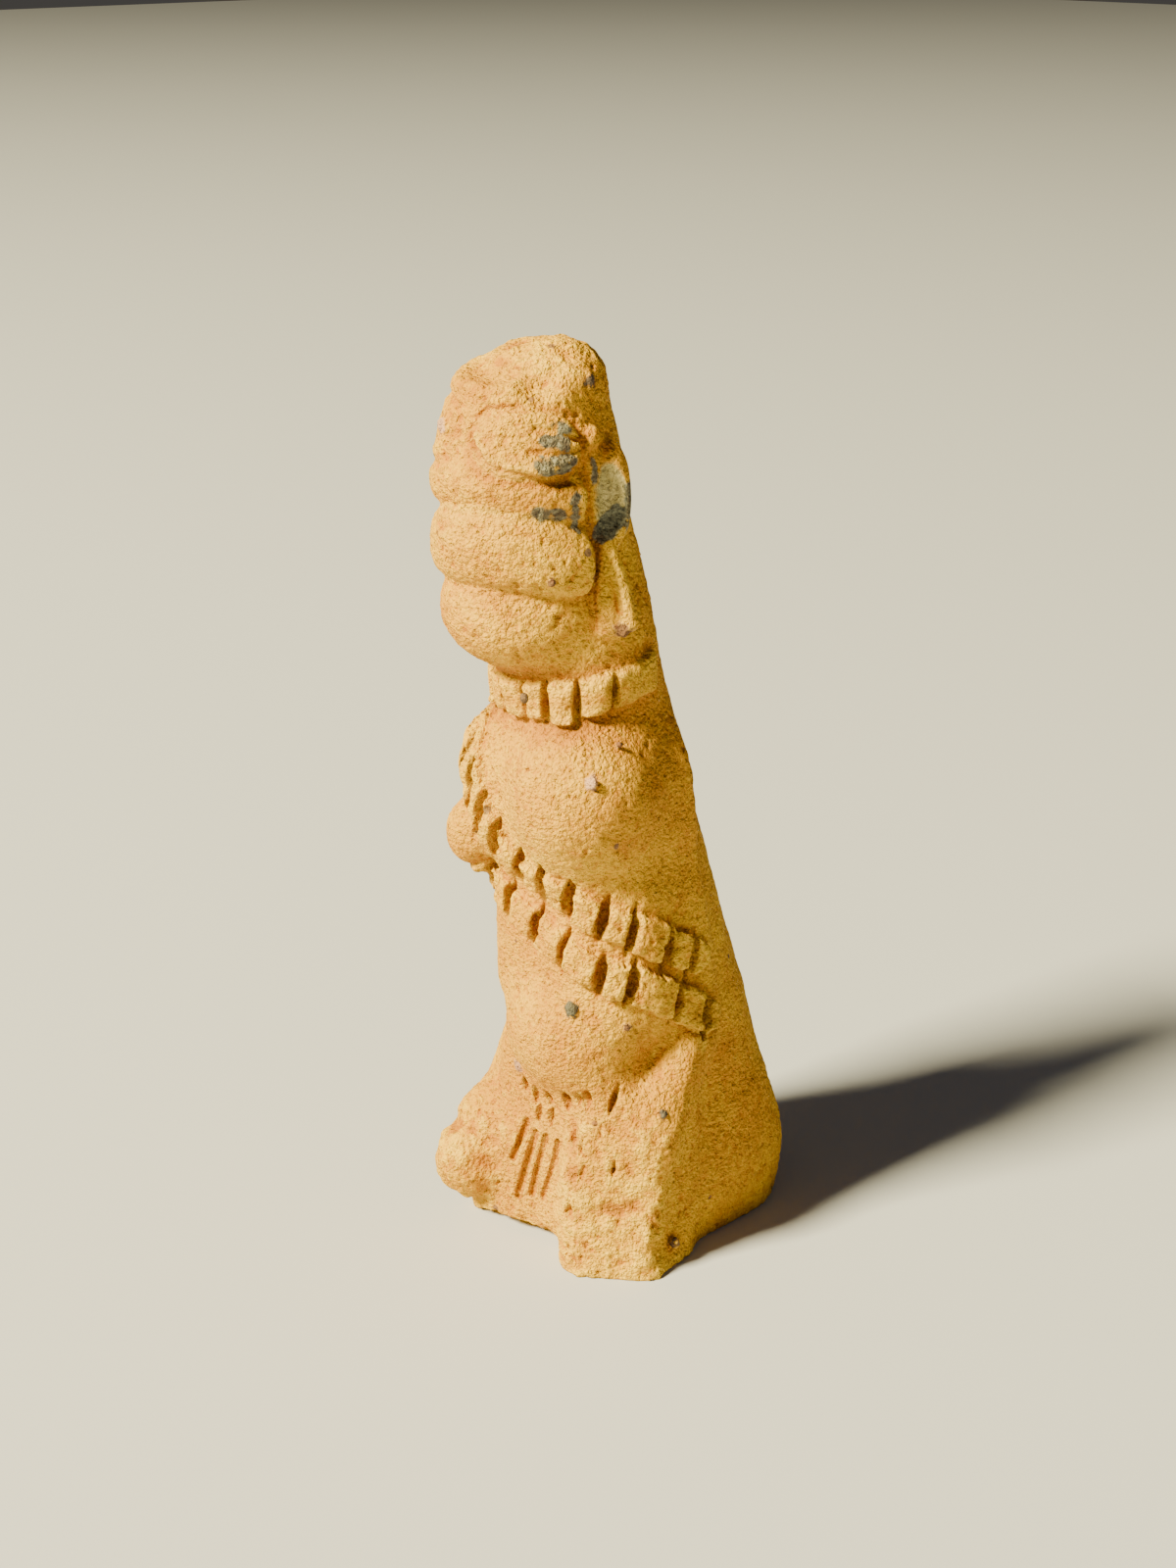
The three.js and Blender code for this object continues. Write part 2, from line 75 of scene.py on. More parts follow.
NECK = dict(start=(2, -10, 150), end=(2, -17.5, 178), radii=(18, 18.5))
NECK_WIDEN = 0.88
HEAD_AXIS = -27
HEAD_CORE = dict(start=(0, -27, 222), end=(0, -26, 190), radii=(20.9, 20.4))
CHIN = dict(centre=(-1, -28, 185.5), radii=(21.3, 21.3, 16.5))
# The face's bands arch over a place a little to the near side of its middle
ARCH_TURN = 17
ROLL_TAPER = 0.4
ROLL_THINNEST = 2
BROW_ROLL = dict(ridge=219, drop=5, above=6, below=6, spread=-1, proud=3.9, end=88)
LIP_ROLL = dict(ridge=204, drop=8, above=12, below=9.8, spread=-4, proud=4.9, end=89)
CAP = dict(start=(0, -27.5, 225), end=(0, -27.5, 237), radii=(21.2, 18.8))
CAP_SCAR = dict(centre=(21.5, -42, 246), radii=(8, 14, 8.5), yaw=55)
CAP_LEDGE = dict(centre=(-2.9, -34.2, 250), radii=(9.5, 16, 9), yaw=47)
CAP_BREAK = dict(height=244, at=-34, rise=0.12)
CAP_KNOB = dict(centre=(6, -22.5, 240.5), radii=(10.5, 10, 10.8))
EYE_PAD = dict(height=230, turn=47, half_turn=38, half_height=7.6, proud=2.6, far=1.2)

# How softly forms run together or are cut
BLEND = dict(
    bulge=6, rear=14, trunk=6, trunk_rear=5, belly=3, leg_cut=5, thigh=8, toes=4, knee=2, near_leg=4,
    far_leg=5, chin=3, brow=2, lip=1.2, roll_end=3, cap_top=2.5, cap_knob=4, cap=3, cap_scar=2, torso=4,
    breasts=2, breast=4, legs=5, neck=6, valley=5, chip=1.5, head=4, pad_edge=2.5, pad=1.2, sash_edge=1.1,
    collar_end=3, band=0.7, ear_break=0.4, strand=2.5, ridge=0.9, flap=1.2, root=2, ear=0.8, cut=0.4,
    groove=0.5, stone=0.5, floor=0.8)

# A sash's blocks swell between its notches, have their own height and width, and fade in at its start
SASH = dict(width=10, proud=2.6)
SASH_BLOCK = dict(gap=3.2, low=0.72, swell=0.22, own=0.22, narrow=0.9, widen=0.06, own_width=0.14)
SASH_SEEDS = (71, 73)
SASH_FADE = dict(start=8, length=28, least=0.3)
UPPER_SASH = dict(
    route=[(-24, -20, 162), (-20, -30, 156), (-17.5, -34.5, 147), (-14.3, -35.3, 136),
           (-10.5, -35.2, 128), (-5.5, -34, 121.5), (1.2, -31.5, 115.5), (8.2, -30.2, 112.8),
           (15.3, -27.8, 109), (22, -23.5, 104.7), (27, -17.5, 101.8), (30, -8.5, 96), (31, 3, 89)],
    notches=[14, 24.5, 35.1, 43.6, 51.6, 61.1, 68.2, 76.3, 86.1, 94.2, 106.4, 117])
LOWER_SASH = dict(
    route=[(-31, -8, 121), (-26, -20, 113), (-17, -27, 106.5), (-9.8, -27, 102.5), (0.5, -27, 98),
           (11, -27, 94.5), (21.5, -24, 89.5), (27, -17, 86.5), (30, -4, 78.5), (31, 7, 71)],
    notches=[10.5, 20.5, 30.4, 38.2, 49.6, 60.2, 71.6, 80, 96.5, 108.5])
# Notches differ a little in length, place and lean; sink is how far under the band's top their middle lies
NOTCH = dict(half_length=9.6, half_width=1.7, depth=4.0, lean=12, sink=1.1)
NOTCH_CHANGE = dict(least=0.86, spread=0.28, thin=1.9, shift=1.6, sway=8)
NOTCH_SEEDS = (5, 6)
COLLAR_NOTCH = dict(half_length=6.4, half_width=1.0, depth=3.2, sink=0.4, least=0.8, spread=0.4, seed=9)
COLLAR = dict(axis=-13, radius=20, front=163.5, tilt=0.17, roll=0.1, roll_from=15, width=10.5, proud=2.4,
              back=-5)
COLLAR_BLOCK = dict(gap=3.6, narrow=0.91, widen=0.11, low=0.8, swell=0.26)
COLLAR_NOTCHES = [-92, -72, -52, -33, -12, 13, 31, 51, 72.5]

EAR = dict(centre=(20.2, -19.9, 214.5), radii=(5.6, 5.4, 14))
EAR_BREAK = dict(point=(22.2, -22.3, 214), normal=(0.6, -0.8, 0))
EAR_STRAND = dict(start=(20.8, -22.6, 203), end=(21.8, -20.8, 184), radii=(2.8, 4.8))
EAR_RIDGE = dict(start=(23.4, -21.6, 202), end=(27.2, -19, 184.5), radii=(1.2, 2.4))
EAR_FLAP = dict(start=(21.3, -25.3, 200), end=(23.4, -24, 183.5), radii=(1.0, 1.9))
EAR_ROOT = dict(start=(19.2, -29.2, 229.6), end=(20, -26, 230), radii=(3.2, 3.0))
EAR_SLIT = dict(centre=(22.6, -28.5, 213), half=(1.2, 4, 5.5), yaw=47)
# Grooves in the clay: a line of places and the radius of the tool
FRINGE = [
    ([(-7.3, -24, 35.2), (-7.9, -24.3, 32.6), (-10.6, -26.7, 22.8)], 1.0),
    ([(-3.6, -24, 33), (-6.1, -25, 23.8), (-9, -26.2, 11.4)], 1.05),
    ([(0.1, -24, 33.2), (-3, -24.1, 22.9), (-5, -24.6, 13.2)], 1.05),
    ([(4.9, -24, 33.4), (3.6, -24.1, 27.7), (-1.6, -24, 13.2)], 0.95)]
FRINGE_SINK = 0.6
EYE_EDGES = [
    ([(1.7, -47.2, 232.9), (5.1, -45.7, 236.7), (12.2, -42.3, 238.2), (16.9, -37.2, 237.8),
      (19.1, -31.9, 236.2)], 0.8),
    ([(2.6, -48, 230.9), (10.2, -50.4, 225.1), (17.1, -46.8, 223.4), (20.4, -41.2, 222),
      (21.8, -34.4, 221.4)], 1.3),
    ([(19.1, -31.9, 236.2), (21.3, -29.8, 232), (22.6, -29.6, 227.5), (21.8, -30, 222.4)], 1.3),
    ([(17.6, -40.9, 234.1), (19.7, -38, 233.3), (21.5, -34.7, 232.1), (21.4, -30.8, 230)], 0.8),
    ([(17.8, -43.1, 228.7), (20.6, -39.4, 228.1), (22.4, -35.6, 227.7), (22.9, -31, 228.6)], 0.9)]
EAR_CHANNEL = ([(22.6, -28.9, 221.5), (22.8, -29, 217), (21, -26.8, 211), (21.6, -26.8, 204),
                (21.3, -26.4, 198)], 1.5)
STRAND_GROOVE = ([(24.2, -24, 201), (25.2, -22.8, 195), (26.3, -21.8, 188)], 0.9)
LOOSE_GROOVES = [EAR_CHANNEL, STRAND_GROOVE]
LINE_STEP = 4.0
GROOVE_STEP = 3.0
BELT_Y = -25
BELT_PITS = [(-8.1, 46.3), (-3.7, 44.5), (-2.5, 39.8), (2.1, 45.7), (2.6, 40.4), (9.7, 48.2), (14, 50.6),
             (17.2, 50.9)]
# Every second pit is wider and every third is longest
BELT_PIT = dict(half_width=1.1, wider=0.4, depth=2.6, half_length=3.0, longer=0.7, lean=8)
HIP_SLIT = dict(centre=(22.8, -19.5, 52), half=(1.0, 2.4, 5), yaw=47, lean=18)
NICKS = [(12, -24.7, 38.5), (5.1, -24.2, 27), (14.8, -28.7, 19.6), (17.4, -26.1, 30.6), (16.4, -25.9, 37.9),
         (24.1, -20.9, 33.1), (15, -28.9, 18.9), (20.7, -22.8, 42.9), (15.2, -29.9, 7.2)]
NICK = dict(half=(0.8, 1.6, 3.2), lean=10)
# The torn face of the ear is scooped, and its broken edge stands a little further out
EAR_SCOOP = dict(radius=10, depth=2.0, proud=0.6)

# Stones in the clay: place, radius, and tone from pale pink 0 through brown 0.5 to blue-grey 1
STONES = [
    ((14.5, -27.3, 78.3), 2.4, 1.0), ((19.3, -22.9, 65.9), 1.6, 0.6), ((-10, -24, 51.3), 2.2, 0.15),
    ((33, -11.3, 48.8), 1.4, 0.9), ((28.2, -32.8, 146.5), 2.0, 0.0), ((28.2, 17.9, 21.7), 2.0, 0.6),
    ((32.8, -6.3, 7.4), 1.8, 0.7), ((17.2, -24, 243), 2.3, 0.8), ((10.7, -39.1, 165.8), 1.8, 0.7),
    ((27.7, -23, 154.1), 1.3, 0.4), ((26.9, 14.2, 39.1), 1.3, 0.6), ((28.3, 7.2, 11.7), 1.3, 0.7),
    ((28.6, 13.8, 30.8), 1.0, 0.6), ((-9.1, -46.7, 231.4), 2.2, 0.05), ((7.9, -41.5, 240.3), 1.6, 0.4),
    ((26.6, -21, 183), 2.4, 0.35), ((21.7, -39.7, 197.2), 1.2, 0.5), ((25.9, -18, 74.1), 1.2, 0.3)]
STONE_SHAPE = (0.8, 0.55, 0.9)
STONE_REACH = 0.9

# Layers of smooth noise: size of its features, seed and height
SASH_EDGE = [(6, 31, 0.7), (2.6, 33, 0.6)]
SASH_LUMPS = [(4, 35, 0.35)]
COLLAR_EDGE = [(7, 37, 0.8), (2.8, 39, 0.5)]
COLLAR_LUMPS = [(5, 41, 0.6)]
EAR_CHIPS = [(4, 51, 0.6), (1.8, 53, 0.3)]
SMUDGE_EDGE = [(1.9, 61, 0.7)]
STONE_EDGE = [(1.7, 91, 0.3)]
UNEVEN_SKIN = [(22, 81, 0.12)]
LUMPS = [(13, 1, 0.26), (6, 2, 0.22)]
SKIN = [(2.4, 4, 0.42), (1.6, 5, 0.32)]
TORN_LUMPS = [(4.2, 22, 0.7)]


# Clay forms, each a distance to its surface for an array of points, negative inside
def smooth_min(a, b, blend):
    h = np.clip(0.5 + 0.5 * (b - a) / blend, 0, 1)
    return b + (a - b) * h - blend * h * (1 - h)


def smooth_max(a, b, blend):
    return -smooth_min(-a, -b, blend)


def ease(x):
    x = np.clip(x, 0, 1)
    return x * x * (3 - 2 * x)


def turned(p, yaw=0.0, lean=0.0):
    """Points in a frame turned by yaw about Z and then leaning by lean about its own Y, in degrees."""
    x, y, z = p[:, 0], p[:, 1], p[:, 2]
    c, s = math.cos(math.radians(yaw)), math.sin(math.radians(yaw))
    x, y = c * x + s * y, c * y - s * x
    c, s = math.cos(math.radians(lean)), math.sin(math.radians(lean))
    return np.stack([c * x - s * z, y, s * x + c * z], 1)


def ellipsoid(p, centre, radii, yaw=0.0):
    q = p - np.float32(centre)
    if yaw:
        q = turned(q, yaw)
    near = np.sqrt(((q / np.float32(radii)) ** 2).sum(1))
    slope = np.sqrt(((q / np.float32(radii) ** 2) ** 2).sum(1)) + 1e-9
    return near * (near - 1) / slope


def blade_cut(p, centre, half, yaw, lean):
    """A cut with pointed ends and a narrow bottom; half sizes are across, inwards and up."""
    q = turned(p - np.float32(centre), yaw, lean)
    return (np.abs(q[:, 0]) / half[0] + (q[:, 1] / half[1]) ** 2 + (q[:, 2] / half[2]) ** 2 - 1) * half[0]


def round_cone(p, start, end, radii):
    a = np.float32(start)
    axis = np.float32(end) - a
    t = np.clip((p - a) @ axis / (axis @ axis), 0, 1)
    return np.sqrt(((p - a - t[:, None] * axis) ** 2).sum(1)) - (radii[0] + (radii[1] - radii[0]) * t)


def round_block(p, centre, half, edge, yaw=0.0):
    q = p - np.float32(centre)
    if yaw:
        q = turned(q, yaw)
    q = np.abs(q) - (np.float32(half) - edge)
    return np.sqrt((np.maximum(q, 0) ** 2).sum(1)) + np.minimum(q.max(1), 0) - edge


def past_plane(p, point, normal):
    return (p - np.float32(point)) @ np.float32(normal)


def back(p):
    q = p * np.float32((BACK_WIDEN, 1, 1))
    links = zip(BACK, BACK[1:])
    chain = [round_cone(q, (0, ya, za), (0, yb, zb), (ra, rb)) for (ya, za, ra), (yb, zb, rb) in links]
    rear = smooth_min(round_block(p, **REAR), ellipsoid(p, **REAR_BULGE), BLEND["bulge"])
    return smooth_min(np.minimum.reduce(chain), rear, BLEND["rear"])


def torso(p):
    trunk = smooth_min(round_block(p, **CHEST), round_block(p, **WAIST), BLEND["trunk"])
    rear = p[:, 1] - TORSO_REAR["at"] + TORSO_REAR["lean"] * (p[:, 2] - TORSO_REAR["height"])
    return smooth_min(smooth_max(trunk, rear, BLEND["trunk_rear"]), ellipsoid(p, **BELLY), BLEND["belly"])


def legs(p):
    near = smooth_max(round_block(p, **NEAR_LEG), past_plane(p, **NEAR_BREAK), BLEND["leg_cut"])
    near = smooth_max(near, past_plane(p, **NEAR_SLOPE), BLEND["leg_cut"])
    near = smooth_min(near, round_cone(p, **NEAR_THIGH), BLEND["thigh"])
    far = smooth_min(round_block(p, **FAR_LEG), round_cone(p, **FAR_THIGH), BLEND["thigh"])
    foot = smooth_min(ellipsoid(p, **FAR_TOES), ellipsoid(p, **FAR_KNEE), BLEND["knee"])
    far = smooth_min(far, foot, BLEND["toes"])
    return smooth_min(smooth_min(round_block(p, **LAP), near, BLEND["near_leg"]), far, BLEND["far_leg"])


def turn_of(p):
    """How far round the head a point lies from the front, in degrees, the near side positive."""
    return np.degrees(np.arctan2(p[:, 0], HEAD_AXIS - p[:, 1]))


def roll(p, core, ridge, drop, above, below, spread, proud, end):
    """A swelling round the face that arches over ARCH_TURN and ends on both sides."""
    turn = turn_of(p)
    arch = 1 - np.cos(np.radians(turn - ARCH_TURN))
    up = p[:, 2] - ridge + drop * arch
    up = up / np.maximum(np.where(up > 0, above, below) + spread * arch, ROLL_THINNEST)
    ring = (np.hypot(up, np.maximum(core, 0) / proud) - 1) * proud
    return smooth_max(ring, (np.abs(turn) - end) * ROLL_TAPER, BLEND["roll_end"])


def head(p):
    core = round_cone(p, **HEAD_CORE)
    d = smooth_min(core, ellipsoid(p, **CHIN), BLEND["chin"])
    d = smooth_min(d, roll(p, core, **BROW_ROLL), BLEND["brow"])
    d = smooth_min(d, roll(p, core, **LIP_ROLL), BLEND["lip"])
    top = p[:, 2] - CAP_BREAK["height"] - CAP_BREAK["rise"] * (p[:, 1] - CAP_BREAK["at"])
    crown = smooth_max(round_cone(p, **CAP), top, BLEND["cap_top"])
    d = smooth_min(d, smooth_min(crown, ellipsoid(p, **CAP_KNOB), BLEND["cap_knob"]), BLEND["cap"])
    d = smooth_max(d, -ellipsoid(p, **CAP_SCAR), BLEND["cap_scar"])
    return smooth_max(d, -ellipsoid(p, **CAP_LEDGE), BLEND["cap_scar"])


def body(p):
    d = smooth_min(back(p), torso(p), BLEND["torso"])
    breasts = smooth_min(ellipsoid(p, **NEAR_BREAST), ellipsoid(p, **FAR_BREAST), BLEND["breasts"])
    d = smooth_min(d, breasts, BLEND["breast"])
    d = smooth_min(d, legs(p), BLEND["legs"])
    d = smooth_min(d, round_cone(p * np.float32((NECK_WIDEN, 1, 1)), **NECK), BLEND["neck"])
    d = smooth_max(d, -round_cone(p, **LEG_VALLEY), BLEND["valley"])
    d = smooth_max(d, -ellipsoid(p, **FRONT_CHIP), BLEND["chip"])
    return smooth_min(d, head(p), BLEND["head"])


def eye_pad(p, d):
    turn = np.degrees(np.arctan2(np.abs(p[:, 0]), HEAD_AXIS - p[:, 1]))
    along = (turn - EYE_PAD["turn"]) / EYE_PAD["half_turn"]
    up = (p[:, 2] - EYE_PAD["height"]) / EYE_PAD["half_height"]
    proud = np.where(p[:, 0] > 0, EYE_PAD["proud"], EYE_PAD["far"])
    edge = (np.hypot(along, up) - 1) * EYE_PAD["half_height"]
    return smooth_max(d - proud, edge, BLEND["pad_edge"])


# Points and lines on the clay
SETTLE_ROUNDS = 12
SETTLE_SHARE = 0.7


def slope(p, field, step=0.05):
    """The way out of the clay at each point."""
    columns = []
    for axis in np.eye(3, dtype=np.float32) * step:
        columns.append(field(p + axis) - field(p - axis))
    normal = np.stack(columns, 1)
    return normal / np.linalg.norm(normal, axis=1, keepdims=True)


def settle(points, height=0.0):
    """Moves points along the clay's slope until they stand that high over it."""
    p = np.float32(np.atleast_2d(points))
    for _ in range(SETTLE_ROUNDS):
        p = p - SETTLE_SHARE * (body(p) - height)[:, None] * slope(p, body)
    return p


def smooth_line(points, step=LINE_STEP):
    """A curve through the points, as short steps."""
    p = np.array(points, float)
    p = np.vstack([2 * p[0] - p[1], p, 2 * p[-1] - p[-2]])
    line = []
    for a, b, c, d in zip(p, p[1:], p[2:], p[3:]):
        count = max(2, math.ceil(np.linalg.norm(c - b) / step))
        t = np.arange(count)[:, None] / count
        line.append(0.5 * (2 * b + (c - a) * t + (2 * a - 5 * b + 4 * c - d) * t ** 2
                           + (3 * b - a - 3 * c + d) * t ** 3))
    return np.vstack(line + [p[-2:-1]]).astype(np.float32)


def along_line(p, line):
    """Each point's distance from a line, and how far along the line it is."""
    nearest = np.full(len(p), 1e9, np.float32)
    along = np.zeros(len(p), np.float32)
    start = 0.0
    for a, b in zip(line, line[1:]):
        axis = b - a
        length = float(np.linalg.norm(axis))
        t = np.clip((p - a) @ axis / length ** 2, 0, 1)
        reach = np.sqrt(((p - a - t[:, None] * axis) ** 2).sum(1))
        closer = reach < nearest
        nearest = np.where(closer, reach, nearest)
        along = np.where(closer, start + t * length, along)
        start += length
    return nearest, along


def point_at(line, distance):
    steps = np.linalg.norm(np.diff(line, axis=0), axis=1)
    marks = np.concatenate([[0], np.cumsum(steps)])
    return np.array([np.interp(distance, marks, line[:, i]) for i in range(3)])


# Noise from whole-number places, the same on every run. The odd numbers scramble a place's bits.
MIX_X, MIX_Y, MIX_Z = 374761393, 668265263, 2246822519
MIX_FIRST, MIX_LAST = 2654435761, 3266489917
LOW_BITS = 0xFFFFFF
SWIRL_GAIN = 1.6


def scatter(place, seed):
    """A number from 0 to 1 for each whole-number place."""
    u = place.astype(np.int64).astype(np.uint32)
    h = u[..., 0] * np.uint32(MIX_X) + u[..., 1] * np.uint32(MIX_Y) + u[..., 2] * np.uint32(MIX_Z)
    h = h + np.uint32(seed * MIX_LAST % 2 ** 32)
    h = (h ^ (h >> np.uint32(15))) * np.uint32(MIX_FIRST)
    h = (h ^ (h >> np.uint32(13))) * np.uint32(MIX_LAST)
    return ((h ^ (h >> np.uint32(16))) & np.uint32(LOW_BITS)) / np.float32(LOW_BITS)


CORNERS = [(i, j, k) for i in (0, 1) for j in (0, 1) for k in (0, 1)]


def swirl(p, size, seed):
    """Smooth noise with features of that size, about -1 to 1."""
    q = p / np.float32(size)
    cell = np.floor(q)
    f = q - cell
    w = f * f * f * (f * (f * 6 - 15) + 10)
    total = np.zeros(len(p), np.float32)
    for corner in CORNERS:
        at = cell + corner
        pull = sum((scatter(at, seed + 7 * i) * 2 - 1) * (f[:, i] - corner[i]) for i in range(3))
        share = np.prod([w[:, i] if corner[i] else 1 - w[:, i] for i in range(3)], 0)
        total += pull * share
    return total * SWIRL_GAIN


def layered(p, layers):
    """The sum of layers of noise, in millimetres."""
    return sum(height * swirl(p, size, seed) for size, seed, height in layers)


# Bands, cuts and the ear
UPPER_LINE = smooth_line(UPPER_SASH["route"])
LOWER_LINE = smooth_line(LOWER_SASH["route"])


def block_swell(place, gap):
    """0 at each notch and 1 between notches, where place counts notches."""
    return ease(np.abs(place - np.round(place)) * gap)


def sash_band(p, d, line, notches):
    """A cord-like band of uneven blocks between its notches."""
    reach, along = along_line(p, line)
    place = np.interp(along, notches, np.arange(len(notches)))
    block = np.floor(place)
    swell = block_swell(place, SASH_BLOCK["gap"])
    number = np.stack([block, block * 0 + len(notches), block * 0], 1)
    own_height, own_width = (scatter(number, seed) for seed in SASH_SEEDS)
    fade = ease((along - SASH_FADE["start"]) / SASH_FADE["length"])
    fade = SASH_FADE["least"] + (1 - SASH_FADE["least"]) * fade
    height = SASH_BLOCK["low"] + SASH_BLOCK["swell"] * swell + SASH_BLOCK["own"] * own_height
    proud = SASH["proud"] * height * fade + layered(p, SASH_LUMPS)
    breadth = SASH_BLOCK["narrow"] + SASH_BLOCK["widen"] * swell + SASH_BLOCK["own_width"] * own_width
    width = SASH["width"] * breadth + layered(p, SASH_EDGE)
    return smooth_max(d - proud, reach - width / 2, BLEND["sash_edge"])


def collar_height(x, y):
    """The height of the collar's middle over a place on the ground."""
    tilt = COLLAR["tilt"] * (y - COLLAR["axis"] + COLLAR["radius"])
    return COLLAR["front"] + tilt + COLLAR["roll"] * (x - COLLAR["roll_from"])


def collar_band(p, d):
    """A round band of blocks that swell between their notches and ends behind the neck."""
    turn = np.degrees(np.arctan2(p[:, 0], COLLAR["axis"] - p[:, 1]))
    place = np.interp(turn, COLLAR_NOTCHES, np.arange(len(COLLAR_NOTCHES)))
    swell = block_swell(place, COLLAR_BLOCK["gap"])
    half_width = COLLAR["width"] / 2 + layered(p, COLLAR_EDGE)
    across = (p[:, 2] - collar_height(p[:, 0], p[:, 1])) / half_width
    across = across / (COLLAR_BLOCK["narrow"] + COLLAR_BLOCK["widen"] * swell)
    proud = COLLAR["proud"] * (COLLAR_BLOCK["low"] + COLLAR_BLOCK["swell"] * swell) + layered(p, COLLAR_LUMPS)
    ring = ((across ** 4 + (np.maximum(d, 0) / proud) ** 4) ** 0.25 - 1) * proud
    return smooth_max(ring, p[:, 1] - COLLAR["back"], BLEND["collar_end"])


def facing(p):
    normal = slope(p, body)[0]
    return math.degrees(math.atan2(normal[0], -normal[1]))


def own_number(place, seed):
    """One number from 0 to 1 for one whole-number place."""
    return float(scatter(np.array([place]), seed)[0])


def all_cuts():
    """Every narrow cut: middle, half sizes across, inwards and up, yaw and lean."""
    cuts = []

    def add(middle, half, yaw=None, lean=0.0):
        turn = facing(np.float32(np.atleast_2d(middle))) if yaw is None else yaw
        cuts.append((np.array(middle, float).ravel(), half, turn, lean))

    for line, sash in ((UPPER_LINE, UPPER_SASH), (LOWER_LINE, LOWER_SASH)):
        for i, distance in enumerate(sash["notches"]):
            grow, shift = (own_number([i, len(sash["notches"]), 3], seed) for seed in NOTCH_SEEDS)
            grow = NOTCH_CHANGE["least"] + NOTCH_CHANGE["spread"] * grow
            shift = shift - 0.5
            half_width = NOTCH["half_width"] * (NOTCH_CHANGE["thin"] - grow)
            middle = settle(point_at(line, distance), SASH["proud"] - NOTCH["sink"])
            middle = middle + (0, 0, NOTCH_CHANGE["shift"] * shift)
            half = (half_width, NOTCH["depth"], NOTCH["half_length"] * grow)
            add(middle, half, lean=NOTCH["lean"] + NOTCH_CHANGE["sway"] * shift)
    for degrees in COLLAR_NOTCHES:
        turn = math.radians(degrees)
        x = COLLAR["radius"] * math.sin(turn)
        y = COLLAR["axis"] - COLLAR["radius"] * math.cos(turn)
        own = own_number([degrees, 1, 1], COLLAR_NOTCH["seed"])
        grow = COLLAR_NOTCH["least"] + COLLAR_NOTCH["spread"] * own
        half = (COLLAR_NOTCH["half_width"] * grow, COLLAR_NOTCH["depth"], COLLAR_NOTCH["half_length"] * grow)
        add(settle((x, y, collar_height(x, y)), COLLAR["proud"] - COLLAR_NOTCH["sink"]), half)
    for i, (x, z) in enumerate(BELT_PITS):
        half_width = BELT_PIT["half_width"] + BELT_PIT["wider"] * (i % 2)
        half = (half_width, BELT_PIT["depth"], BELT_PIT["half_length"] + BELT_PIT["longer"] * (i % 3))
        add(settle((x, BELT_Y, z)), half, yaw=0.0, lean=BELT_PIT["lean"])
    for place in NICKS:
        add(settle(place), NICK["half"], lean=NICK["lean"])
    add(EAR_SLIT["centre"], EAR_SLIT["half"], yaw=EAR_SLIT["yaw"])
    add(HIP_SLIT["centre"], HIP_SLIT["half"], yaw=HIP_SLIT["yaw"], lean=HIP_SLIT["lean"])
    return cuts


def all_grooves():
    """Every groove: its line and the radius of the tool. The eye's edges are on both sides of the face."""
    grooves = []
    for line, radius in FRINGE:
        sunk = [settle(place, -FRINGE_SINK)[0] for place in line]
        grooves.append((smooth_line(sunk, GROOVE_STEP), radius))
    for line, radius in EYE_EDGES:
        for side in (1, -1):
            grooves.append((smooth_line([(x * side, y, z) for x, y, z in line], GROOVE_STEP), radius))
    for line, radius in LOOSE_GROOVES:
        grooves.append((smooth_line(line, GROOVE_STEP), radius))
    return grooves


CUTS = all_cuts()
GROOVES = all_grooves()
# How far from the body's surface the bands can reach, and how far past a cut, groove or stone its blend can
BAND_REACH = 7
CUT_MARGIN = 2
GROOVE_MARGIN = 4


def ears(p):
    """The near ear, torn and scooped, with its root and hanging strand, and the plainer far ear."""
    near = ellipsoid(p, **EAR)
    hollow = ((p - np.float32(EAR_BREAK["point"])) ** 2).sum(1) / EAR_SCOOP["radius"] ** 2
    scoop = EAR_SCOOP["depth"] * ease(1 - hollow) - EAR_SCOOP["proud"]
    near = smooth_max(near, past_plane(p, **EAR_BREAK) + layered(p, EAR_CHIPS) + scoop, BLEND["ear_break"])
    d = smooth_min(near, round_cone(p, **EAR_STRAND), BLEND["strand"])
    d = smooth_min(d, round_cone(p, **EAR_RIDGE), BLEND["ridge"])
    d = smooth_min(d, round_cone(p, **EAR_FLAP), BLEND["flap"])
    d = smooth_min(d, round_cone(p, **EAR_ROOT), BLEND["root"])
    q = p * np.float32((-1, 1, 1))
    far = smooth_min(ellipsoid(q, **EAR), round_cone(q, **EAR_STRAND), BLEND["strand"])
    return np.minimum(d, far)


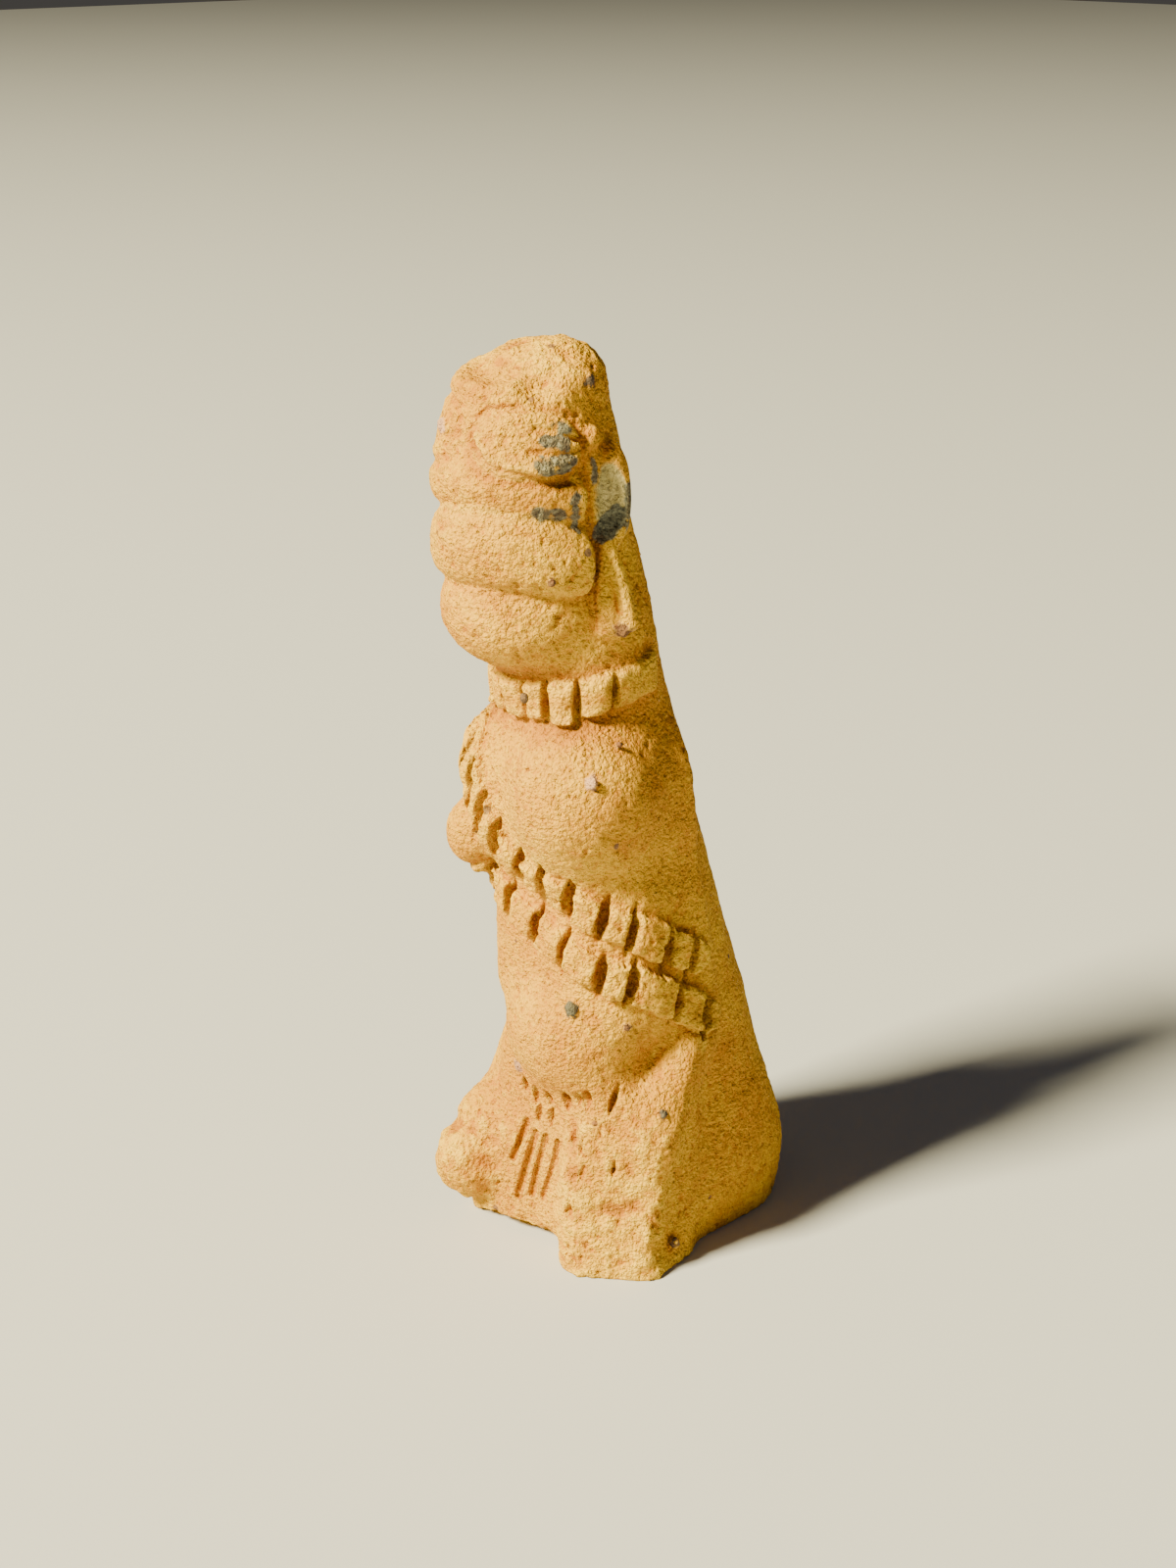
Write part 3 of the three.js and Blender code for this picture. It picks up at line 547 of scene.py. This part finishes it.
def clay(p):
    """The whole figure's field."""
    d = body(p)
    near = np.abs(d) < BAND_REACH
    q = p[near]
    base = d[near]
    fine = smooth_min(base, eye_pad(q, base), BLEND["pad"])
    fine = smooth_min(fine, collar_band(q, base), BLEND["band"])
    fine = smooth_min(fine, sash_band(q, base, UPPER_LINE, UPPER_SASH["notches"]), BLEND["band"])
    fine = smooth_min(fine, sash_band(q, base, LOWER_LINE, LOWER_SASH["notches"]), BLEND["band"])
    d[near] = fine
    d = smooth_min(d, ears(p), BLEND["ear"])
    for middle, half, yaw, lean in CUTS:
        close = (np.abs(p - np.float32(middle)) < max(half) + CUT_MARGIN).all(1)
        if close.any():
            d[close] = smooth_max(d[close], -blade_cut(p[close], middle, half, yaw, lean), BLEND["cut"])
    for line, radius in GROOVES:
        close = ((p > line.min(0) - GROOVE_MARGIN) & (p < line.max(0) + GROOVE_MARGIN)).all(1)
        if close.any():
            d[close] = smooth_max(d[close], radius - along_line(p[close], line)[0], BLEND["groove"])
    for middle, radius, _ in STONES:
        close = (np.abs(p - np.float32(middle)) < radius + CUT_MARGIN).all(1)
        if close.any():
            stone = ellipsoid(p[close], middle, [radius * share for share in STONE_SHAPE])
            d[close] = smooth_min(d[close], stone, BLEND["stone"])
    return smooth_max(d, -p[:, 2], BLEND["floor"])


# Surface from the field
NEAR_SURFACE = 1.25
BATCH_POINTS = 400000


def sampled(low, high, cell, block=6):
    """A grid of the field, exact near the surface and coarse elsewhere."""
    low = np.float32(low)
    blocks = np.ceil((np.float32(high) - low) / (cell * block)).astype(int)
    spots = np.stack(np.meshgrid(*[np.arange(n) for n in blocks], indexing="ij"), -1).reshape(-1, 3)
    middle = clay((low + (spots + 0.5) * block * cell).astype(np.float32)).reshape(blocks)
    grid = middle.repeat(block, 0).repeat(block, 1).repeat(block, 2)
    near = np.argwhere(np.abs(middle) < NEAR_SURFACE * block * cell)
    offsets = np.stack(np.meshgrid(*[np.arange(block)] * 3, indexing="ij"), -1).reshape(-1, 3)
    batch = BATCH_POINTS // block ** 3
    for i in range(0, len(near), batch):
        index = (near[i:i + batch, None] * block + offsets).reshape(-1, 3)
        grid[tuple(index.T)] = clay((low + index * cell).astype(np.float32))
    return grid


def surface(values, low, cell):
    """Points and quads over the zero level of a grid, negative inside."""
    inside = values < 0
    shape = np.array(values.shape)
    count = np.zeros(shape - 1, np.int8)
    for i, j, k in CORNERS:
        count += inside[i:shape[0] - 1 + i, j:shape[1] - 1 + j, k:shape[2] - 1 + k]
    cells = np.argwhere((count > 0) & (count < 8))
    number = np.full(shape - 1, -1, np.int32)
    number[tuple(cells.T)] = np.arange(len(cells))
    corner_values = {c: values[tuple((cells + c).T)] for c in CORNERS}
    total = np.zeros((len(cells), 3), np.float32)
    hits = np.zeros(len(cells), np.float32)
    for corner in CORNERS:
        for axis in range(3):
            if corner[axis]:
                continue
            other = tuple(1 if i == axis else corner[i] for i in range(3))
            a, b = corner_values[corner], corner_values[other]
            crossed = (a < 0) != (b < 0)
            t = np.where(crossed, a / np.where(crossed, a - b, 1), 0)
            total += (np.float32(corner) + t[:, None] * np.eye(3, dtype=np.float32)[axis]) * crossed[:, None]
            hits += crossed
    points = (cells + total / hits[:, None]) * cell + np.float32(low)
    quads = []
    for axis in range(3):
        u, v = (axis + 1) % 3, (axis + 2) % 3
        lower = inside[tuple(slice(0, -1) if i == axis else slice(1, -1) for i in range(3))]
        upper = inside[tuple(slice(1, None) if i == axis else slice(1, -1) for i in range(3))]
        for outward, crossed in ((True, lower & ~upper), (False, ~lower & upper)):
            start = np.argwhere(crossed)
            start[:, u] += 1
            start[:, v] += 1
            ring = []
            for du, dv in ((-1, -1), (0, -1), (0, 0), (-1, 0)):
                cell_at = start.copy()
                cell_at[:, u] += du
                cell_at[:, v] += dv
                ring.append(number[tuple(cell_at.T)])
            ring = np.stack(ring, -1)
            quads.append(ring if outward else ring[:, ::-1])
    return points, np.concatenate(quads)


def past(value, start, width):
    """Rises from 0 to 1 as a value goes past start, over that width."""
    return ease((value - start) / width)


def under(value, start, width):
    """Rises from 0 to 1 as a value goes below start, over that width."""
    return ease((start - value) / width)


# Where the clay is roughly broken: start and width of the change in each direction
CAP_TORN = dict(height=(228, 4), turn=(18, 6), slope=0.25, turns=(-20, 60), share=0.8)
CROWN_TORN = (243, 3)
LEG_TORN = dict(x=(6, 4), y=(-8, 5), z=(50, 10))
TOES_TORN = dict(x=(-12, 4), y=(-14, 4), z=(36, 5))
RIM_TORN = dict(z=(7, 5), share=0.6)

# How coarse the skin is, and the places where it is finer: middle, radii, reach and how much finer
ROUGH = dict(least=0.36, head=0.12, low=0.2, sashes=0.2, back=0.7)
ROUGH_FROM = dict(head=(166, 16), low=(58, 20), front=(22, 26), sashes=(8, 3))
FINER = [((24, -21, 207), (7, 9, 24), 1.6, 0.65), ((17, -38, 228), (8, 11, 8), 1.5, 0.45),
         ((-4, -25, 27), (11, 8, 14), 1.5, 0.8)]

# Crumbs: size, seed and height. Pits: size, seed, width of the edge and depth.
CRUMB_GAIN = 2.2
CRUMB_DROP = 0.5
SKIN_CRUMBS = (3.1, 3, 0.1)
TORN_CRUMBS = (2.4, 23, 0.14)
PITS = [(2.0, 11, 0.25, 0.8), (1.4, 13, 0.2, 0.6)]
PIT_LEVEL = 0.4
TORN = dict(crease_size=8, crease_seed=21, crease=1.3, level=0.4, share=0.8)
NORMAL_STEP = 0.3
FLAT_FOOT = 0.4


def broken_share(p):
    """Where the clay is roughly broken, from 0 to 1."""
    x, y, z = p[:, 0], p[:, 1], p[:, 2]
    turn = turn_of(p)
    edge = CAP_TORN["slope"] * turn.clip(*CAP_TORN["turns"])
    cap = past(z - edge, *CAP_TORN["height"]) * past(turn, *CAP_TORN["turn"]) * CAP_TORN["share"]
    crown = past(z, *CROWN_TORN)
    leg = past(x, *LEG_TORN["x"]) * under(y, *LEG_TORN["y"]) * under(z, *LEG_TORN["z"])
    toes = under(x, *TOES_TORN["x"]) * under(y, *TOES_TORN["y"]) * under(z, *TOES_TORN["z"])
    rim = under(z, *RIM_TORN["z"]) * RIM_TORN["share"]
    return np.maximum.reduce([cap, crown, leg, toes, rim])


def crumbs(p, size, seed, height):
    """Rounded lumps with creases between them."""
    return height * (np.abs(swirl(p, size, seed)) * CRUMB_GAIN - CRUMB_DROP)


def roughness(p):
    """How coarse the skin is: rough on the head, the bands and the legs, finer on the chest and the back."""
    share = ROUGH["least"] + ROUGH["head"] * past(p[:, 2], *ROUGH_FROM["head"])
    share = share + ROUGH["low"] * under(p[:, 2], *ROUGH_FROM["low"])
    front = under(p[:, 1], *ROUGH_FROM["front"])
    share = share * (ROUGH["back"] + (1 - ROUGH["back"]) * front) + layered(p, UNEVEN_SKIN)
    sashes = np.minimum(along_line(p, UPPER_LINE)[0], along_line(p, LOWER_LINE)[0])
    share = share + ROUGH["sashes"] * under(sashes, *ROUGH_FROM["sashes"])
    for middle, radii, reach, finer in FINER:
        away = np.sqrt((((p - np.float32(middle)) / np.float32(radii)) ** 2).sum(1))
        share = share * (1 - finer * ease(reach - away))
    return share


def relief(p, broken):
    """How far the skin stands out, and the crumbs' share of it, in millimetres."""
    skin = crumbs(p, *SKIN_CRUMBS) + layered(p, SKIN)
    for size, seed, edge, depth in PITS:
        skin = skin - depth * past(-swirl(p, size, seed), PIT_LEVEL, edge)
    creases = TORN["crease"] * np.abs(swirl(p, TORN["crease_size"], TORN["crease_seed"]))
    torn = TORN["level"] - creases + layered(p, TORN_LUMPS) - crumbs(p, *TORN_CRUMBS)
    crumb = roughness(p) * skin + broken * torn * TORN["share"]
    return layered(p, LUMPS) + crumb, crumb


def build_clay():
    """The clay's points, quads, way out and crumbs; nothing stands out under the flat base."""
    grid = sampled(SAMPLE_LOW, SAMPLE_HIGH, CELL)
    points, quads = surface(grid, SAMPLE_LOW, CELL)
    points = points.astype(np.float32)
    normals = slope(points, clay, NORMAL_STEP)
    lift, crumb = relief(points, broken_share(points))
    lift = np.where(points[:, 2] < FLAT_FOOT, 0, lift)
    points = points + normals * lift[:, None]
    points[:, 2] = np.maximum(points[:, 2], 0)
    return points, quads, normals, crumb


# Blue-grey firing smudges: from, to and radius
SMUDGES = [((20.3, -36.8, 234.2), (21, -34, 233.5), 1.2), ((19.6, -39.3, 231.3), (21, -35.3, 230.2), 1.8),
           ((20.9, -41, 225.8), (22.4, -34.5, 224.9), 2.5), ((23.7, -33.9, 217.5), (21.9, -32.1, 209), 1.2),
           ((18.9, -41, 214), (21.4, -37.2, 213), 2.0), ((25.8, -17, 218), (25, -17.8, 209), 1.9),
           ((23.4, -20.5, 210.5), (21.6, -23, 206.5), 2.7), ((21.7, -26.7, 224.9), (21.5, -25.8, 219), 1.1)]
SMUDGE_CHANGE = 2.2
# Hollows, where shade is painted red and then dark, and convex edges, which are painted paler, are found by
# looking this far out of and into the clay
PROBE = 3
EAR_FACE = dict(depth=(0.2, 0.5), plane=(-5, 2))


def patches(p):
    """Share of blue-grey firing smudges, with ragged edges."""
    share = np.zeros(len(p), np.float32)
    for start, end, radius in SMUDGES:
        share = np.maximum(share, ease(0.5 - round_cone(p, start, end, (radius, radius)) / SMUDGE_CHANGE))
    return np.clip(share + layered(p, SMUDGE_EDGE) * (share > 0), 0, 1)


def stones(p):
    """Which points lie on a stone, and the stone's tone there."""
    stone = np.zeros(len(p), np.float32)
    tone = np.zeros(len(p), np.float32)
    uneven = 1 + layered(p, STONE_EDGE)
    for middle, radius, shade in STONES:
        close = np.sqrt(((p - np.float32(middle)) ** 2).sum(1)) * uneven < radius * STONE_REACH
        stone[close] = 1
        tone[close] = shade
    return stone, tone


def set_attribute(mesh, name, values):
    attribute = mesh.attributes.new(name, "FLOAT", "POINT")
    attribute.data.foreach_set("value", np.asarray(values, np.float32))


def figure_object(material):
    points, quads, normals, crumb = build_clay()
    # hollow is high in concave places, where the material paints shade; edge is high on convex places, which
    # it paints paler
    hollow = np.clip(1 - clay((points + normals * PROBE).astype(np.float32)) / PROBE, 0, 1)
    edge = np.clip(1 + clay((points - normals * PROBE).astype(np.float32)) / PROBE, 0, 1)
    ear_face = past(-ellipsoid(points, **EAR), *EAR_FACE["depth"])
    ear_face = ear_face * past(past_plane(points, **EAR_BREAK), *EAR_FACE["plane"])
    stone, tone = stones(points)
    mesh = bpy.data.meshes.new("figure_clay")
    placed = (points - ORIGIN) * MM
    mesh.vertices.add(len(placed))
    mesh.vertices.foreach_set("co", placed.astype(np.float32).ravel())
    mesh.loops.add(quads.size)
    mesh.loops.foreach_set("vertex_index", quads.astype(np.int32).ravel())
    mesh.polygons.add(len(quads))
    mesh.polygons.foreach_set("loop_start", np.arange(0, quads.size, 4, dtype=np.int32))
    mesh.update(calc_edges=True)
    mesh.validate()
    shares = dict(hollow=hollow, edge=edge, smudge=patches(points), ear_face=ear_face, stone=stone,
                  stone_tone=tone, crumb=crumb)
    for name, values in shares.items():
        set_attribute(mesh, name, values)
    piece = bpy.data.objects.new("figure_clay", mesh)
    bpy.context.scene.collection.objects.link(piece)
    thin = piece.modifiers.new("thin", "DECIMATE")
    thin.ratio = min(1.0, TRIANGLE_LIMIT / (2 * len(quads)))
    bpy.context.view_layer.update()
    thinned = bpy.data.meshes.new_from_object(piece.evaluated_get(bpy.context.evaluated_depsgraph_get()))
    piece.modifiers.clear()
    piece.data = thinned
    thinned.name = "figure_clay"
    thinned.shade_smooth()
    thinned.materials.clear()
    thinned.materials.append(material)
    print("figure triangles", sum(len(f.vertices) - 2 for f in thinned.polygons))
    return piece


# Terracotta
# Features of each texture to a metre
SCALE = dict(broad=28, middle=130, coarse=620, sand=1500, wander=320, grit=190, grains=820, small_grains=1700,
             pores=950)
# How far grains wander from a round shape, in metres
WANDER = (0.0016, 0.0016, 0.0016)


class Nodes:
    """Short words for a material's node tree."""

    def __init__(self, material):
        material.use_nodes = True
        self.tree = material.node_tree
        self.tree.nodes.clear()

    def add(self, kind, inputs=None, **settings):
        node = self.tree.nodes.new(kind)
        for name, value in settings.items():
            setattr(node, name, value)
        for name, value in (inputs or {}).items():
            self.feed(node.inputs[name], value)
        return node

    def feed(self, socket, value):
        if isinstance(value, bpy.types.NodeSocket):
            self.tree.links.new(value, socket)
        else:
            socket.default_value = value

    def attribute(self, name):
        return self.add("ShaderNodeAttribute", attribute_name=name).outputs["Fac"]

    def noise(self, where, scale, detail=3.0, roughness=0.55):
        inputs = {"Vector": where, "Scale": scale, "Detail": detail, "Roughness": roughness}
        return self.add("ShaderNodeTexNoise", inputs).outputs["Fac"]

    def wander(self, where, scale):
        """A small wander of position, so that grains aren't round."""
        inputs = {"Vector": where, "Scale": scale, "Detail": 1.0}
        colour = self.add("ShaderNodeTexNoise", inputs).outputs["Color"]
        return self.add("ShaderNodeVectorMath", {0: colour, 1: WANDER}, operation="MULTIPLY").outputs[0]

    def cells(self, where, scale):
        """The distance to the nearest of scattered grains."""
        return self.add("ShaderNodeTexVoronoi", {"Vector": where, "Scale": scale}).outputs["Distance"]

    def maths(self, operation, a, b=None, clamp=False):
        node = self.add("ShaderNodeMath", operation=operation, use_clamp=clamp)
        self.feed(node.inputs[0], a)
        if b is not None:
            self.feed(node.inputs[1], b)
        return node.outputs[0]

    def between(self, value, low, high):
        """Rises from 0 to 1 as value goes from low to high."""
        inputs = {"Value": value, "From Min": low, "From Max": high}
        return self.add("ShaderNodeMapRange", inputs, interpolation_type="SMOOTHSTEP").outputs["Result"]

    def mix(self, share, a, b, blend="MIX"):
        node = self.add("ShaderNodeMix", data_type="RGBA", blend_type=blend)
        self.feed(node.inputs[0], share)
        self.feed(node.inputs[6], a)
        self.feed(node.inputs[7], b)
        return node.outputs[2]

    def tint(self, colour, value, low, high, share, other):
        """A colour mixed with another, up to that share, as value goes from low to high."""
        return self.mix(self.maths("MULTIPLY", self.between(value, low, high), share), colour, other)


# Clay colours, linear
OCHRE = (0.61, 0.275, 0.012, 1)
GOLD = (0.79, 0.435, 0.02, 1)
# A red clay tone for random patches and specks, also used as painted shade in the lows of the relief and in
# hollows
RED_CLAY_AND_SHADE = (0.49, 0.17, 0.01, 1)
SHADE = (0.17, 0.05, 0.005, 1)
PALE = (0.92, 0.60, 0.045, 1)
GRIT_BROWN = (0.16, 0.05, 0.03, 1)
GRIT_PURPLE = (0.15, 0.10, 0.09, 1)
SMUDGE_DARK = (0.06, 0.07, 0.065, 1)
SMUDGE_PALE = (0.20, 0.215, 0.17, 1)
EAR_OLIVE = (0.50, 0.43, 0.17, 1)
EAR_CREAM = (0.74, 0.64, 0.30, 1)
EAR_SPECK = (0.16, 0.14, 0.07, 1)
STONE_BROWN = (0.14, 0.06, 0.045, 1)
STONE_BLUE = (0.07, 0.09, 0.09, 1)
STONE_PINK = (0.62, 0.36, 0.24, 1)

# The bump's parts, its depth in metres, and how dull the clay is
BUMP = dict(sand=0.35, coarse=0.5, grains=0.45, small_grains=0.2, pores=0.4, depth=0.0016)
DULL = dict(roughness=0.93, shine=0.2)


def terracotta():
    material = bpy.data.materials.new("terracotta")
    nodes = Nodes(material)
    where = nodes.add("ShaderNodeTexCoord").outputs["Object"]

    # Broad colour: ochre and golden skin, redder in random patches, with painted shade, red and then dark, in
    # the lows of the relief and in hollows, and paler on the highs of the relief and on convex edges
    broad = nodes.noise(where, SCALE["broad"], 4)
    middle = nodes.noise(where, SCALE["middle"], 4)
    sand = nodes.noise(where, SCALE["sand"], 3, 0.6)
    coarse = nodes.noise(where, SCALE["coarse"], 4, 0.62)
    crumb = nodes.attribute("crumb")
    hollow = nodes.attribute("hollow")
    colour = nodes.mix(nodes.between(broad, 0.35, 0.66), OCHRE, GOLD)
    colour = nodes.tint(colour, middle, 0.5, 0.72, 0.5, RED_CLAY_AND_SHADE)
    colour = nodes.tint(colour, crumb, 0.05, 0.4, 0.45, PALE)
    # Painted shade: the lows of the relief, its pits and creases, turn redder, and the deepest turn dark
    colour = nodes.tint(colour, crumb, -0.05, -0.5, 0.75, RED_CLAY_AND_SHADE)
    colour = nodes.tint(colour, crumb, -0.4, -1.0, 0.55, SHADE)
    # Painted shade: hollows turn redder, and the deepest turn dark
    colour = nodes.tint(colour, hollow, 0.15, 0.8, 0.75, RED_CLAY_AND_SHADE)
    colour = nodes.tint(colour, hollow, 0.6, 1.0, 0.5, SHADE)
    colour = nodes.tint(colour, nodes.attribute("edge"), 0.2, 0.7, 0.4, PALE)

    # Sand: pale grains on the highs and brown specks in the lows of the fine noise
    colour = nodes.tint(colour, coarse, 0.56, 0.72, 0.45, PALE)
    colour = nodes.tint(colour, coarse, 0.46, 0.34, 0.6, RED_CLAY_AND_SHADE)
    colour = nodes.tint(colour, sand, 0.4, 0.28, 0.5, SHADE)

    # Rare grit: brown and purple grains of uneven size
    inputs = {0: where, 1: nodes.wander(where, SCALE["wander"])}
    ragged = nodes.add("ShaderNodeVectorMath", inputs, operation="ADD").outputs[0]
    inputs = {"Vector": ragged, "Scale": SCALE["grit"], "Randomness": 1.0}
    grit = nodes.add("ShaderNodeTexVoronoi", inputs)
    pick = nodes.add("ShaderNodeSeparateColor", {"Color": grit.outputs["Color"]})
    rare = nodes.between(pick.outputs["Red"], 0.9, 0.91)
    reach = nodes.maths("MULTIPLY", pick.outputs["Blue"], 0.16)
    inside = nodes.between(nodes.maths("SUBTRACT", grit.outputs["Distance"], reach), 0.1, 0.04)
    grain = nodes.mix(pick.outputs["Green"], GRIT_BROWN, GRIT_PURPLE)
    share = nodes.maths("MULTIPLY", nodes.maths("MULTIPLY", rare, inside), 0.8)
    colour = nodes.mix(share, colour, grain)

    # Blue-grey firing smudges, the pale break of the ear and the larger stones
    smudge_at = nodes.maths("ADD", nodes.attribute("smudge"), nodes.maths("MULTIPLY", coarse, 0.5))
    grey = nodes.mix(nodes.between(coarse, 0.4, 0.65), SMUDGE_DARK, SMUDGE_PALE)
    face = nodes.mix(nodes.between(middle, 0.35, 0.65), EAR_OLIVE, EAR_CREAM)
    face = nodes.tint(face, coarse, 0.48, 0.36, 0.6, EAR_SPECK)
    colour = nodes.mix(nodes.maths("MULTIPLY", nodes.attribute("ear_face"), 0.92), colour, face)
    colour = nodes.tint(colour, smudge_at, 0.56, 0.98, 0.88, grey)
    tone = nodes.attribute("stone_tone")
    stone = nodes.mix(nodes.between(tone, 0.5, 1.0), STONE_BROWN, STONE_BLUE)
    stone = nodes.mix(nodes.between(tone, 0.35, 0.0), stone, STONE_PINK)
    colour = nodes.mix(nodes.maths("MULTIPLY", nodes.attribute("stone"), 0.9), colour, stone)

    # Fine bump over the modelled relief: sandy grain and small open pores
    height = nodes.maths("ADD", nodes.maths("MULTIPLY", sand, BUMP["sand"]),
                         nodes.maths("MULTIPLY", coarse, BUMP["coarse"]))
    for name in ("grains", "small_grains"):
        sunk = nodes.maths("MULTIPLY", nodes.cells(where, SCALE[name]), BUMP[name])
        height = nodes.maths("SUBTRACT", height, sunk)
    pore = nodes.between(nodes.noise(where, SCALE["pores"], 2, 0.5), 0.42, 0.3)
    height = nodes.maths("SUBTRACT", height, nodes.maths("MULTIPLY", pore, BUMP["pores"]))
    bump = nodes.add("ShaderNodeBump", {"Height": height, "Strength": 1.0, "Distance": BUMP["depth"]})
    inputs = {"Base Color": colour, "Roughness": DULL["roughness"], "Specular IOR Level": DULL["shine"],
              "Normal": bump.outputs[0]}
    shader = nodes.add("ShaderNodeBsdfPrincipled", inputs)
    nodes.add("ShaderNodeOutputMaterial", {"Surface": shader.outputs[0]})
    return material


# Stage: floor, lights and the photograph's camera
PHOTO_HEIGHT = 1600
FOCAL_PIXELS = 2404
CAMERA_PLACE = np.array([421.1, -400.5, 353.0])
CAMERA_AZIMUTH = 47
CAMERA_PITCH = 21
SENSOR = 24.0
CLIP_START = 0.01

# Floor, light and sky, in metres in the frame
FLOOR_REACH = 6.0
FLOOR_COLOUR = (0.52, 0.535, 0.60, 1)
FLOOR_ROUGHNESS = 0.9
SKY_COLOUR = (1.0, 0.93, 0.84, 1)
SKY_STRENGTH = 0.06
LIGHT_TARGET = (0, 0, 0.12)
LIGHTS = dict(
    key=dict(place=(-0.72, -4.0, 3.64), size=1.0, power=1440, colour=(1.0, 0.88, 0.5)),
    fill=dict(place=(1.1, -0.2, 0.5), size=0.9, power=0.6, colour=(1.0, 0.95, 0.88)))


def camera():
    data = bpy.data.cameras.new("camera")
    data.sensor_fit = "VERTICAL"
    data.sensor_height = SENSOR
    data.lens = FOCAL_PIXELS / PHOTO_HEIGHT * SENSOR
    data.clip_start = CLIP_START
    item = bpy.data.objects.new("camera", data)
    item.location = (CAMERA_PLACE - ORIGIN) * MM
    item.rotation_euler = (math.radians(90 - CAMERA_PITCH), 0, math.radians(CAMERA_AZIMUTH))
    bpy.context.scene.collection.objects.link(item)
    bpy.context.scene.camera = item


def area_light(name, place, size, power, colour):
    data = bpy.data.lights.new(name, "AREA")
    data.size = size
    data.energy = power
    data.color = colour
    item = bpy.data.objects.new(name, data)
    item.location = place
    way = Vector(LIGHT_TARGET) - Vector(place)
    item.rotation_euler = way.to_track_quat("-Z", "Y").to_euler()
    bpy.context.scene.collection.objects.link(item)


def stage():
    mesh = bpy.data.meshes.new("floor")
    corners = [(x * FLOOR_REACH, y * FLOOR_REACH, 0) for x, y in ((-1, -1), (1, -1), (1, 1), (-1, 1))]
    mesh.from_pydata(corners, [], [(0, 1, 2, 3)])
    floor = bpy.data.objects.new("floor", mesh)
    bpy.context.scene.collection.objects.link(floor)
    material = bpy.data.materials.new("floor")
    material.use_nodes = True
    shader = material.node_tree.nodes["Principled BSDF"]
    shader.inputs["Base Color"].default_value = FLOOR_COLOUR
    shader.inputs["Roughness"].default_value = FLOOR_ROUGHNESS
    mesh.materials.append(material)
    world = bpy.data.worlds.new("world")
    bpy.context.scene.world = world
    world.use_nodes = True
    sky = world.node_tree.nodes["Background"]
    sky.inputs["Color"].default_value = SKY_COLOUR
    sky.inputs["Strength"].default_value = SKY_STRENGTH
    for name, light in LIGHTS.items():
        area_light(name, **light)


camera()
stage()
clay_piece = figure_object(terracotta())
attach(clay_piece, "root")
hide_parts("figure")
